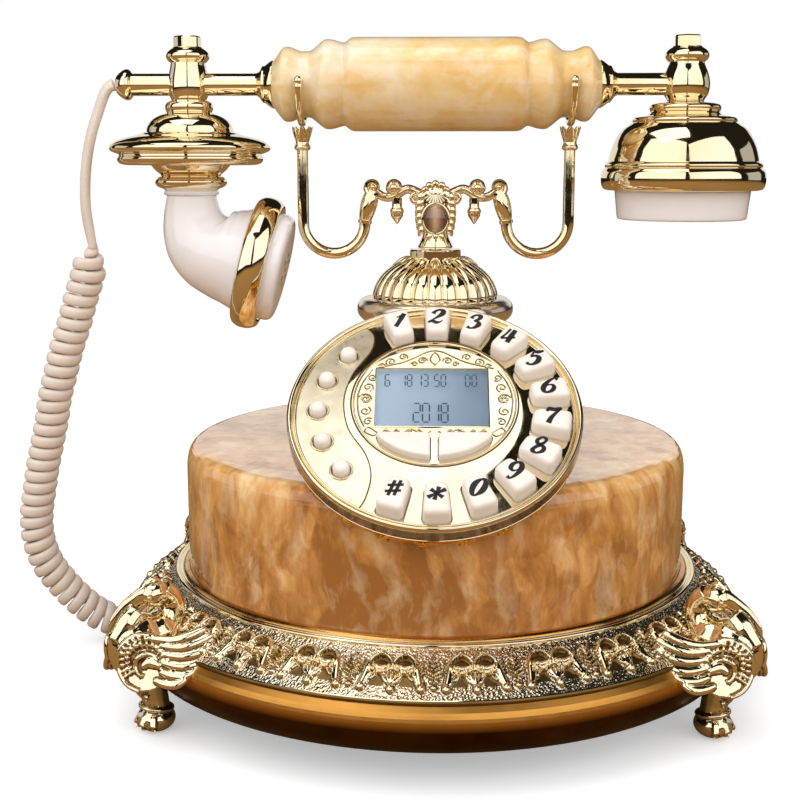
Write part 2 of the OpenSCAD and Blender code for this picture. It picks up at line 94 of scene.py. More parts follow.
def grid_faces(rows, cols, wrap=True):
    last = cols if wrap else cols - 1
    return [
        (i * cols + j, i * cols + (j + 1) % cols, (i + 1) * cols + (j + 1) % cols, (i + 1) * cols + j)
        for i in range(rows - 1)
        for j in range(last)
    ]


def caps(rows, cols):
    """The two faces that close the ends of a tube of that many rows."""
    return [tuple(range(cols)), tuple(range((rows - 1) * cols, rows * cols))]


def joined(*shapes):
    points, faces, start = [], [], 0
    for some_points, some_faces in shapes:
        points.append(np.asarray(some_points, float))
        faces += [tuple(k + start for k in face) for face in some_faces]
        start += len(some_points)
    return np.vstack(points), faces


def moved(shape, matrix):
    m = np.array(matrix)
    return np.asarray(shape[0]) @ m[:3, :3].T + m[:3, 3], shape[1]


def at(x, y, z):
    return Matrix.Translation((x, y, z))


def turn(degrees, axis):
    return Matrix.Rotation(math.radians(degrees), 4, axis)


def polar(radius, angle, *height):
    """The point at a radius and an angle in radians."""
    return (radius * math.cos(angle), radius * math.sin(angle), *height)


def shares(count):
    """Angles in radians that share out the full turn."""
    return np.arange(count) * 2 * math.pi / count


def round_steps(count):
    return np.linspace(0, 2 * np.pi, count, endpoint=False)


def ring_row(radius, angle, z):
    """Points at the angles, at a radius and height that may change from one to the next."""
    return np.stack([radius * np.cos(angle), radius * np.sin(angle), np.broadcast_to(z, angle.shape)], 1)


def flipped(shape, axis=0):
    points = np.array(shape[0])
    points[:, axis] *= -1
    return points, shape[1]


def both_sides(shape, axis=0):
    return joined(shape, flipped(shape, axis))


def rounded(outline, passes=2):
    """Cuts the corners of an open outline, so that it turns smoothly."""
    p = np.array(outline, float)
    for _ in range(passes):
        a, b = p[:-1], p[1:]
        cut = np.stack([0.75 * a + 0.25 * b, 0.25 * a + 0.75 * b], 1).reshape(-1, p.shape[1])
        p = np.vstack([p[:1], cut, p[-1:]])
    return p


def lathe(outline, steps=CLEAN, closed=False):
    """Turns an outline of (radius, height) points about Z."""
    p = np.array(outline, float)
    if closed:
        p = np.vstack([p, p[:1]])
    angle = round_steps(steps)
    x = np.outer(p[:, 0], np.cos(angle))
    y = np.outer(p[:, 0], np.sin(angle))
    z = np.repeat(p[:, 1:2], steps, 1)
    points = np.stack([x, y, z], 2).reshape(-1, 3)
    faces = grid_faces(len(p), steps)
    return points, faces if closed else faces + caps(len(p), steps)


def uncapped(outline):
    points, faces = lathe(outline, 180)
    return points, faces[:-2]


def turned(outline, passes=2, steps=CLEAN, closed=False):
    """A turned part whose outline is rounded first."""
    return lathe(rounded(outline, passes), steps, closed)


def chain(*outlines):
    """One outline out of several, each rounded; one that is given as an array stays as it is."""
    return np.vstack([o if isinstance(o, np.ndarray) else rounded(o) for o in outlines])


def curve(points, steps=8):
    """A smooth line through the points."""
    p = np.array(points, float)
    p = np.vstack([2 * p[0] - p[1], p, 2 * p[-1] - p[-2]])
    out = []
    for a, b, c, d in zip(p[:-3], p[1:-2], p[2:-1], p[3:]):
        for t in np.linspace(0, 1, steps, endpoint=False):
            square, cube = 2 * a - 5 * b + 4 * c - d, 3 * b - a - 3 * c + d
            out.append(0.5 * (2 * b + (c - a) * t + square * t**2 + cube * t**3))
    return np.array(out + [p[-2]])


def unit(v):
    return v / np.maximum(np.linalg.norm(v, axis=-1, keepdims=True), 1e-12)


def sweep(path, widths, depths=None, sides=14, ref=(0, 1, 0)):
    """A tube along a path. widths are its half sizes across, depths those towards ref."""
    p = np.array(path, float)
    n = len(p)

    def spread(sizes):
        return np.interp(np.linspace(0, 1, n), np.linspace(0, 1, np.size(sizes)), np.ravel(sizes))

    widths = spread(widths)
    depths = widths if depths is None else spread(depths)
    heading = unit(np.gradient(p, axis=0))
    side = unit(np.cross(heading, np.broadcast_to(np.array(ref, float), heading.shape)))
    up = np.cross(side, heading)
    angle = round_steps(sides)
    points = (
        p[:, None]
        + np.cos(angle)[None, :, None] * (side * widths[:, None])[:, None]
        + np.sin(angle)[None, :, None] * (up * depths[:, None])[:, None]
    ).reshape(-1, 3)
    return points, grid_faces(n, sides) + caps(n, sides)


def leaf(path, width, depth, ref, sides=12):
    """A pointed or rounded blade along a path, widest in the middle."""
    swell = np.sin(np.linspace(0.12, 0.97, 15) * np.pi) ** 0.6
    return sweep(curve(path, 6), swell * width / 2, swell * depth / 2, sides, ref)


def egg(centre, radii, steps=24):
    lat = np.linspace(0.02, np.pi - 0.02, steps // 2)
    outline = np.stack([np.sin(lat), -np.cos(lat)], 1)
    points, faces = lathe(outline, steps)
    return points * np.array(radii) + np.array(centre), faces


def prism(outline, levels):
    """A closed outline (x, y) raised through levels of (inset, height), with both ends capped."""
    p = np.array(outline, float)
    inward = unit((p.max(0) + p.min(0)) / 2 - p)
    rings = [np.column_stack([p + inward * inset, np.full(len(p), height)]) for inset, height in levels]
    size = len(levels), len(p)
    return np.vstack(rings), grid_faces(*size) + caps(*size)


def round_corners(corners, radius, steps=6):
    """A closed outline whose corners are arcs of about that radius."""
    p = np.array(corners, float)
    out = []
    for before, here, after in zip(np.roll(p, 1, 0), p, np.roll(p, -1, 0)):
        a = here + unit(before - here) * min(radius, 0.45 * np.linalg.norm(before - here))
        b = here + unit(after - here) * min(radius, 0.45 * np.linalg.norm(after - here))
        for t in np.linspace(0, 1, steps):
            out.append((1 - t) ** 2 * a + 2 * t * (1 - t) * here + t**2 * b)
    return np.array(out)


def ribbon(strokes, height):
    """Flat brush strokes: each is a list of (x, y, width)."""
    parts = []
    for stroke in strokes:
        p = curve(stroke, 8)
        along = unit(np.gradient(p[:, :2], axis=0))
        across = np.stack([-along[:, 1], along[:, 0]], 1) * np.maximum(p[:, 2:3], 0.02) / 2
        left, right = p[:, :2] + across, p[:, :2] - across
        n = len(p)
        rows = []
        for level in (0, height):
            rows.append(np.column_stack([left, np.full(n, level)]))
            rows.append(np.column_stack([right, np.full(n, level)]))
        points = np.vstack(rows)
        faces = []
        for i in range(n - 1):
            a, b, c, d = i, i + n, i + 2 * n, i + 3 * n
            faces += [(a, a + 1, b + 1, b), (c, d, d + 1, c + 1), (a, c, c + 1, a + 1),
                      (b, b + 1, d + 1, d)]
        faces += [(0, n, 3 * n, 2 * n), (n - 1, 3 * n - 1, 4 * n - 1, 2 * n - 1)]
        parts.append((points, [f for f in faces if max(f) < 4 * n]))
    return joined(*parts)


def build(name, shape, body, look, sharp=35, stands_for=(), others=(), picked=()):
    """Makes the piece in metres, smooth but for its sharp edges, riding on its body.

    look names its material; others names more of them, which picked gives out face by face.
    """
    points, faces = shape
    mesh = bpy.data.meshes.new(name)
    mesh.from_pydata((np.asarray(points) * MM).tolist(), [], faces)
    work = bmesh.new()
    work.from_mesh(mesh)
    bmesh.ops.recalc_face_normals(work, faces=work.faces)
    work.to_mesh(mesh)
    work.free()
    mesh.polygons.foreach_set("use_smooth", [True] * len(mesh.polygons))
    mesh.set_sharp_from_angle(angle=math.radians(sharp))
    for one in (look, *others):
        mesh.materials.append(MATERIALS[one])
    if others:
        mesh.polygons.foreach_set("material_index", np.asarray(picked, dtype=np.int32))
    piece = bpy.data.objects.new(name, mesh)
    bpy.context.scene.collection.objects.link(piece)
    if body:
        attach(piece, body)
    if stands_for:
        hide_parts(*stands_for)
    return piece


# ---------- materials ----------

FINE_GRAIN, CLOUD_GRAIN = 220, 60
GOLD_WAVES = 90


class Nodes:
    """A material's node tree, with short ways to add and link nodes."""

    def __init__(self, name):
        self.material = bpy.data.materials.new(name)
        self.material.use_nodes = True
        self.tree = self.material.node_tree
        self.shader = self.tree.nodes["Principled BSDF"]
        self.where = self.add("ShaderNodeTexCoord").outputs["Object"]

    def add(self, kind, inputs=(), **values):
        """A new node; inputs gives its sockets a value or a source."""
        node = self.tree.nodes.new(kind)
        for key, value in values.items():
            setattr(node, key, value)
        for socket, value in dict(inputs).items():
            if isinstance(value, bpy.types.NodeSocket):
                self.link(value, node.inputs[socket])
            else:
                node.inputs[socket].default_value = value
        return node

    def link(self, source, target):
        self.tree.links.new(source, target)

    def set(self, **values):
        for key, value in values.items():
            self.shader.inputs[key.replace("_", " ")].default_value = value

    def mapped(self, scale, vector=None):
        inputs = {"Scale": scale, "Vector": vector or self.where}
        return self.add("ShaderNodeMapping", inputs).outputs["Vector"]

    def noise(self, scale, detail=3, roughness=0.5, vector=None, output="Fac"):
        inputs = {"Scale": scale, "Detail": detail, "Roughness": roughness,
                  "Vector": vector or self.where}
        return self.add("ShaderNodeTexNoise", inputs).outputs[output]

    def along(self, axis):
        """One coordinate of the place on the object."""
        return self.add("ShaderNodeSeparateXYZ", {"Vector": self.where}).outputs[axis]

    def calc(self, operation, *values):
        node = self.add("ShaderNodeMath", enumerate(values), operation=operation)
        return node.outputs["Value"]

    def ramp(self, value, stops):
        node = self.add("ShaderNodeValToRGB")
        ramp = node.color_ramp
        while len(ramp.elements) < len(stops):
            ramp.elements.new(0.5)
        for element, (position, colour) in zip(ramp.elements, stops):
            element.position = position
            element.color = (*colour, 1) if np.size(colour) == 3 else (colour, colour, colour, 1)
        self.link(value, node.inputs["Fac"])
        return node.outputs["Color"]

    def mix(self, factor, a, b, mode="MIX"):
        node = self.add("ShaderNodeMix", data_type="RGBA", blend_type=mode)
        for socket, value in ((node.inputs["Factor"], factor), (node.inputs["A"], a),
                              (node.inputs["B"], b)):
            if isinstance(value, (int, float)):
                socket.default_value = value if socket.type == "VALUE" else (value, value, value, 1)
            elif isinstance(value, tuple):
                socket.default_value = (*value, 1)
            else:
                self.link(value, socket)
        return node.outputs["Result"]

    def map(self, value, low, high, from_low=0.0, from_high=1.0):
        inputs = {"Value": value, "From Min": from_low, "From Max": from_high, "To Min": low,
                  "To Max": high}
        return self.add("ShaderNodeMapRange", inputs).outputs["Result"]

    def clouds(self, a, b, scale=CLOUD_GRAIN, start=0.35, share=1.0):
        """Colour a with clouds of b."""
        return self.mix(self.map(self.noise(scale, 4), 0, share, start, 0.7), a, b)

    def bump(self, height, strength, distance):
        node = self.add("ShaderNodeBump", {"Strength": strength, "Distance": distance, "Height": height})
        self.link(node.outputs["Normal"], self.shader.inputs["Normal"])

    def colour(self, source):
        self.link(source, self.shader.inputs["Base Color"])

    def rough(self, source):
        self.link(source, self.shader.inputs["Roughness"])


def gold(name, pale, deep, low_rough, high_rough, bump=0.05):
    """Polished plating: faint clouds in colour and gloss, and a barely wavy surface."""
    m = Nodes(name)
    m.set(Metallic=1.0)
    m.colour(m.clouds(pale, deep))
    m.rough(m.map(m.noise(FINE_GRAIN), low_rough, high_rough, 0.35, 0.7))
    m.bump(m.noise(GOLD_WAVES, 2), bump, 0.0004)
    return m.material


def lacquer(name, painted_shade_colour, high_colour, low, high):
    """Bronze lacquer with painted shade: its colour darkens to the first colour below the heights low to high,
    toward the underside.
    """
    m = Nodes(name)
    m.set(Metallic=1.0)
    # painted shade: darker below the band of heights, where the surface turns to face down
    shade = m.mix(m.map(m.along("Z"), 0, 1, low, high), painted_shade_colour, high_colour)
    m.colour(m.clouds(shade, high_colour, share=0.08))
    m.rough(m.map(m.noise(FINE_GRAIN), 0.28, 0.36, 0.35, 0.7))
    m.bump(m.noise(GOLD_WAVES, 2), 0.05, 0.0004)
    return m.material


def stippled_gold():
    """Cast gold with a fine grain between its polished heights."""
    m = Nodes("gold_stippled")
    m.set(Metallic=1.0)
    grain = m.add("ShaderNodeTexVoronoi", {"Scale": 1100, "Vector": m.where}).outputs["Distance"]
    m.colour(m.clouds((0.98, 0.88, 0.68), (0.93, 0.77, 0.52)))
    m.rough(m.map(grain, 0.1, 0.22))
    m.bump(grain, 0.7, 0.0003)
    return m.material


DRIFT = (0.014, 0.014, 0.02)  # metres that the stone's pattern wanders
LEAN = 0.16  # radians that its crystals lean
STONE_STOPS = (0.36, 0.46, 0.56, 0.68)
# the painted shade on the stone runs between these heights, darker at the foot and paler at the top
HEIGHT_SHADE_SPAN = (0.05, 0.115)  # at the foot and at the top of the stone
# the painted shadow on the stone's front, under the dial, is darkest at the first and ends at the second
SHADOW_FRONT_Y, SHADOW_END_Y = -0.106, -0.07


def onyx(name, colours, tints, glow, veins, grain, crystals, painted_shade):
    """Banded stone: feathery streaks, slender crystals, clouds and pale flecks.

    The last argument holds painted shade: two offsets, at the foot and at the top, between which the stone pales,
    so that its foot is painted darker, and how much darker its front is, a painted shadow of the dial above it.
    """
    m = Nodes(name)
    drift = m.noise(45, 4, output="Color")
    warp = m.add("ShaderNodeVectorMath", {0: drift, 1: DRIFT, 2: m.where}, operation="MULTIPLY_ADD")
    drifted = warp.outputs["Vector"]
    turned_by = {"Vector": drifted, "Angle": LEAN}
    leaning = m.add("ShaderNodeVectorRotate", turned_by, rotation_type="Y_AXIS").outputs["Vector"]
    streak = m.noise(1, 6, 0.66, m.mapped(grain, drifted))
    cloud = m.noise(30, 4, 0.6, drifted)
    cut = {"Scale": 1, "Smoothness": 0.25, "Vector": m.mapped(crystals, leaning)}
    cells = m.add("ShaderNodeTexVoronoi", cut, feature="SMOOTH_F1")
    crystal = m.add("ShaderNodeSeparateColor", {"Color": cells.outputs["Color"]}).outputs["Green"]
    base = m.mix(0.4, m.mix(0.18, cloud, crystal), streak)
    low, high, front = painted_shade
    # painted shade: the stone darker at its foot and paler towards its top
    paler = m.calc("ADD", base, m.map(m.along("Z"), low, high, *HEIGHT_SHADE_SPAN))
    # painted shadow: the stone's front darker, where the dial overhangs it
    front_shadowed = m.calc("ADD", paler, m.map(m.along("Y"), front, 0, SHADOW_FRONT_Y, SHADOW_END_Y))
    shade = m.ramp(front_shadowed, list(zip(STONE_STOPS, colours)))
    shade = m.mix(0.8, shade, m.mix(m.map(cloud, 0, 1, 0.4, 0.6), *tints), "MULTIPLY")
    fleck = m.noise(1, 5, 0.6, m.mapped(tuple(0.8 * g for g in grain), leaning))
    m.colour(m.mix(m.map(fleck, 0, veins, 0.5, 0.72), shade, colours[-1]))
    m.rough(m.map(streak, 0.1, 0.2))
    m.bump(streak, 0.03, 0.0004)
    m.set(Coat_Weight=0.7, Coat_Roughness=0.06, Specular_IOR_Level=0.45)
    m.set(Subsurface_Weight=glow, Subsurface_Scale=0.006, Subsurface_Radius=(1.0, 0.5, 0.25))
    return m.material


def plastic(name, colour, shade, low_rough, high_rough, grain=900, bump=0.05, coat=0.0, glow=0.0):
    """Moulded plastic: a fine grain, faint mottling and slightly uneven gloss."""
    m = Nodes(name)
    m.colour(m.clouds(colour, shade, 45, 0.3))
    m.rough(m.map(m.noise(130, 3), low_rough, high_rough, 0.3, 0.7))
    m.bump(m.noise(grain, 3), bump, 0.0002)
    m.set(Coat_Weight=coat, Coat_Roughness=0.08)
    if glow:
        m.set(Subsurface_Weight=glow, Subsurface_Scale=0.003, Subsurface_Radius=(1.0, 0.8, 0.6))
    return m.material


def cats_eye():
    """Brown chatoyant stone with a painted sheen: one soft bright band down its middle, in its colour."""
    m = Nodes("cats_eye_stone")
    # painted sheen: the stone's bright eye, palest along its middle line
    band = m.map(m.calc("ABSOLUTE", m.along("X")), 1, 0, 0.0002, 0.004)
    fibre_and_sheen = m.mix(0.25, band, m.noise(1, 4, 0.6, m.mapped((1500, 60, 120))))
    browns = [(0.15, (0.07, 0.03, 0.015)), (0.5, (0.22, 0.1, 0.045)), (0.85, (0.5, 0.33, 0.2))]
    m.colour(m.ramp(fibre_and_sheen, browns))
    m.rough(m.map(fibre_and_sheen, 0.1, 0.2))
    m.set(Coat_Weight=1.0, Coat_Roughness=0.05)
    return m.material


def screen():
    """Backlit grey-blue display, paler towards its left."""
    m = Nodes("display_backlight")
    low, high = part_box("lcd_module")
    patch = m.mix(0.35, m.map(m.along("X"), 0, 1, low.x, high.x), m.noise(30, 2))
    shade = m.ramp(patch, [(0.1, (0.4, 0.5, 0.6)), (0.5, (0.29, 0.37, 0.47)), (0.85, (0.12, 0.16, 0.22))])
    m.colour(shade)
    m.link(shade, m.shader.inputs["Emission Color"])
    m.set(Emission_Strength=0.6, Roughness=0.5)
    return m.material


def clear(name, tint, rough):
    m = Nodes(name)
    m.colour(m.mix(m.noise(40, 2), tint, (1.0, 1.0, 1.0)))
    m.rough(m.map(m.noise(80, 2), rough, rough + 0.02))
    m.set(Transmission_Weight=1.0, IOR=1.2)
    return m.material


PALE_GOLD = (0.99, 0.89, 0.66)
DEEP_GOLD = (0.95, 0.78, 0.47)
MATERIALS = {
    "gold": gold("gold_polished", PALE_GOLD, DEEP_GOLD, 0.03, 0.09),
    "frieze": stippled_gold(),
    "step": gold("gold_brown_step", (0.85, 0.5, 0.16), (0.7, 0.36, 0.1), 0.16, 0.28, 0.1),
    "pearl": gold("gold_pale_satin", (0.93, 0.86, 0.74), (0.88, 0.78, 0.62), 0.16, 0.26, 0.08),
    "cast": gold("gold_cast", PALE_GOLD, (0.97, 0.82, 0.54), 0.03, 0.1, 0.06),
    "amber": gold("gold_amber", (0.95, 0.58, 0.11), (0.8, 0.4, 0.05), 0.08, 0.2, 0.1),
    # the dial housing's side wall in a dark gold: painted shade, the dark that the wall reflects
    "bronze": gold("gold_wall_painted_dark_reflection", (0.3, 0.19, 0.12), (0.22, 0.14, 0.08), 0.12, 0.22, 0.08),
    "satin": gold("gold_satin", (0.99, 0.9, 0.7), (0.95, 0.83, 0.58), 0.25, 0.38, 0.1),
    # dark gold: the dial's dark lines, and painted shade in the frieze's recesses and the swans' creases
    "line": gold("gold_dark_lines_and_painted_shade", (0.2, 0.12, 0.04), (0.3, 0.18, 0.06), 0.3, 0.45, 0.1),
    # the drum's last three values are painted shade: darker at the foot, paler at the top, and a painted shadow on
    # its front
    "drum": onyx("onyx_drum_stone",
                 ((0.36, 0.16, 0.05), (0.56, 0.28, 0.095), (0.78, 0.48, 0.2), (0.95, 0.77, 0.48)),
                 ((1.0, 0.84, 0.52), (1.0, 0.86, 0.72)), 0.15, 0.42,
                 (170, 170, 62), (150, 150, 85), (-0.07, 0.1, -0.08)),
    "grip": onyx("onyx_grip_stone",
                 ((0.8, 0.56, 0.25), (0.85, 0.66, 0.38), (0.88, 0.74, 0.5), (0.92, 0.85, 0.72)),
                 ((1.0, 0.9, 0.66), (1.0, 0.97, 0.95)), 0.25, 0.5,
                 (70, 110, 110), (60, 80, 80), (-0.03, -0.03, 0)),
    # painted shade: the skirt darkens to near black below these two heights
    "skirt": lacquer("skirt_bronze_lacquer_painted_shade", (0.05, 0.017, 0.003), (0.76, 0.36, 0.075), 0.0222, 0.0256),
    "dark": plastic("dark_moulding", (0.03, 0.03, 0.032), (0.05, 0.05, 0.05), 0.45, 0.6),
    "key": plastic("key_cream", (0.9, 0.83, 0.76), (0.86, 0.78, 0.7), 0.28, 0.38, 900, 0.04, 0.15, 0.15),
    "white": plastic("white_gloss", (0.93, 0.9, 0.9), (0.9, 0.86, 0.86), 0.1, 0.18, 600, 0.02, 0.5, 0.15),
    "cord": plastic("cord_cream", (0.8, 0.7, 0.61), (0.75, 0.64, 0.55), 0.3, 0.42, 1200, 0.08, 0.1, 0.12),
    "ink": plastic("ink_black", (0.008, 0.008, 0.01), (0.015, 0.014, 0.014), 0.4, 0.5),
    "segment": plastic("display_segment", (0.02, 0.045, 0.08), (0.03, 0.06, 0.1), 0.5, 0.6),
    "steel": gold("steel_plain", (0.6, 0.6, 0.6), (0.5, 0.5, 0.5), 0.25, 0.4, 0.1),
    "rubber": plastic("rubber_grey", (0.2, 0.2, 0.2), (0.26, 0.26, 0.26), 0.6, 0.75),
    "board": plastic("board_green", (0.02, 0.16, 0.06), (0.03, 0.2, 0.08), 0.35, 0.5),
    "cabochon": cats_eye(),
    "screen": screen(),
    "glass": clear("display_glass", (0.93, 0.97, 1.0), 0.02),
    "clear": clear("plug_clear", (0.85, 0.85, 0.84), 0.08),
}
SLOT_LOOKS = {
    "gold": "gold", "onyx": "drum", "skirt_plastic": "skirt", "dark_plastic": "dark",
    "key_plastic": "key", "white_plastic": "white", "cabochon_stone": "cabochon", "steel": "steel",
    "rubber_sheet": "rubber", "circuit_board": "board", "display": "screen",
    "display_glass": "glass", "cord_plastic": "cord", "clear_plastic": "clear",
}


LOOK_SLOTS = {look: slot for slot, look in SLOT_LOOKS.items()}
LOOK_SLOTS |= {"grip": "onyx", "ink": "dark_plastic", "segment": "display"}  # all others are gold


def dress_cad_nodes():
    """Every CAD node gets its slot's material; those that a piece stands for are hidden later."""
    for entry in frame["record"]["subparts"]:
        node = frame["nodes"][entry["node"]]
        node.data.materials.clear()
        node.data.materials.append(MATERIALS[SLOT_LOOKS[entry["material_slot"]]])


dress_cad_nodes()


# ---------- cord ----------

LEAD_ROUTE = [
    (-123.3, 0, 229.6), (-124.4, 0, 229.4), (-126.8, 0, 226.6), (-129.6, 0.5, 220),
    (-132.5, 0.5, 212), (-134.8, 1, 203), (-136, 1, 194), (-136.4, 1.2, 185),
    (-135.8, 1.5, 177), (-134.4, 2.1, 167.5)]
COIL_ROUTE = [
    (-134.4, 2.1, 167.5), (-137, 2.5, 157), (-140.5, 3, 147), (-143.5, 3.5, 137.5), (-147, 4, 128),
    (-150, 4.5, 118), (-153, 5, 108), (-155, 5.5, 98), (-157.5, 6, 88), (-160, 6.5, 78),
    (-162, 7, 68), (-163.8, 7.5, 58), (-163.8, 8, 47.5), (-161, 9.5, 36.5), (-155.5, 11.5, 27),
    (-148.5, 13, 18.5), (-140, 15.5, 11), (-130.5, 18.5, 7.4)]
TAIL_ROUTE = [
    (-130.5, 18.5, 7.4), (-127, 19.5, 6.3), (-122, 20.5, 5.8), (-116, 21, 6.4), (-110.5, 21, 7)]
CORD_WIDTH = 4.6
CORD_THICK = 3.4
COIL_OUTSIDE = 13.6
TURNS = 36
STEPS_A_TURN = 24
CORD_SIDES = 14
EASE_TURNS = 1.6  # turns in which the coil opens from its axis at either end
LEAD_FACING = (0.75, 0.66, 0.0)
SQUARED = 0.75  # below 1 the cord's section is fuller than an ellipse


def evenly(points, count):
    gaps = np.linalg.norm(np.diff(points, axis=0), axis=1)
    along = np.concatenate([[0], np.cumsum(gaps)])
    wanted = np.linspace(0, along[-1], count)
    return np.stack([np.interp(wanted, along, points[:, k]) for k in range(3)], 1)


def curly_cord():
    """Flat cord: straight lead, a helix whose turns nearly touch, and a short tail to the plug."""
    lead = evenly(curve(LEAD_ROUTE), 40)
    axis = evenly(curve(COIL_ROUTE), TURNS * STEPS_A_TURN + 1)
    tail = evenly(curve(TAIL_ROUTE), 14)
    heading = unit(np.gradient(axis, axis=0))
    side = unit(np.cross(heading, (0.0, 1.0, 0.0)))
    front = np.cross(heading, side)
    turn_at = np.linspace(0, TURNS, len(axis))
    phase = (2 * np.pi * turn_at)[:, None]
    out = np.cos(phase) * side + np.sin(phase) * front
    ease = np.clip(np.minimum(turn_at, TURNS - turn_at) / EASE_TURNS, 0, 1)[:, None]
    ease = ease * ease * (3 - 2 * ease)
    helix = axis + out * (COIL_OUTSIDE - CORD_THICK) / 2 * ease
    path = np.vstack([lead[:-1], helix, tail[1:]])
    thin = np.vstack([
        np.tile(LEAD_FACING, (len(lead) - 1, 1)),
        out,
        np.tile(out[-1], (len(tail) - 1, 1))])
    kernel = np.ones(9) / 9
    thin = np.stack([np.convolve(np.pad(thin[:, k], 4, "edge"), kernel, "valid") for k in range(3)], 1)
    along = unit(np.gradient(path, axis=0))
    thin = unit(thin - along * np.sum(thin * along, 1, keepdims=True))
    wide = np.cross(along, thin)
    angle = round_steps(CORD_SIDES)
    c, s = (np.sign(wave) * np.abs(wave) ** SQUARED for wave in (np.cos(angle), np.sin(angle)))
    points = (
        path[:, None]
        + c[None, :, None] * wide[:, None] * CORD_WIDTH / 2
        + s[None, :, None] * thin[:, None] * CORD_THICK / 2
    ).reshape(-1, 3)
    faces = grid_faces(len(path), CORD_SIDES)
    faces += caps(len(path), CORD_SIDES)
    piece = build("handset_cord", (points, faces), None, "cord", 60,
                  ("cord_lead", "cord_coil", "cord_tail"))
    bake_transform(piece)


curly_cord()


# ---------- handset ----------

tube_low, tube_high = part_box("handset_tube")
HANDSET_Z = (tube_low.z + tube_high.z) / 2 / MM
ear_low, ear_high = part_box("ear_cap")
POST_X = (ear_low.x + ear_high.x) / 2 / MM
ON_HANDSET = at(0, 0, HANDSET_Z) @ turn(90, "Y")
AT_MIC = at(-POST_X, 0, 0)
AT_EAR = at(POST_X, 0, 0)
MOUTH_TILT = 14
ON_MOUTH = at(-73.6, 0, 162.8) @ turn(90 + MOUTH_TILT, "Y")

GRIP = [
    (8.8, 61.9), (9.2, 61.4), (13.6, 58.2), (14, 56.6), (13.8, 54.8), (12.4, 51.9), (12.3, 50.6),
    (12.3, 48.4), (12.6, 47.2), (16, 43.2), (16.8, 41.6), (16.6, 39), (15.4, 35.2), (15.6, 34.4),
    (17.2, 32.4), (17.5, 30.6), (17.5, 26)]
FINIAL = [
    (2, 243.6), (5.4, 243.6), (5.6, 243), (6, 242.9), (7.4, 241.9), (8.2, 240.8), (8.3, 239.6),
    (7.6, 238.4), (6.6, 237.6)]


def hex_cap():
    corners = [polar(5.4, a) for a in shares(6) + 0.35]
    levels = [(0.5, 242.6), (0, 243.1), (0, 247), (0.5, 247.5)]
    return prism(round_corners(corners, 0.35, 3), levels)


def seven_spots(radius, low, high, apart):
    """Small round studs: one in the middle and six about it."""
    stud = lathe([(0.1, low), (radius, low), (radius, high), (0.1, high)], 20)
    places = [(0, 0)] + [polar(apart, a) for a in shares(6)]
    return joined(*[moved(stud, at(x, y, 0)) for x, y in places])


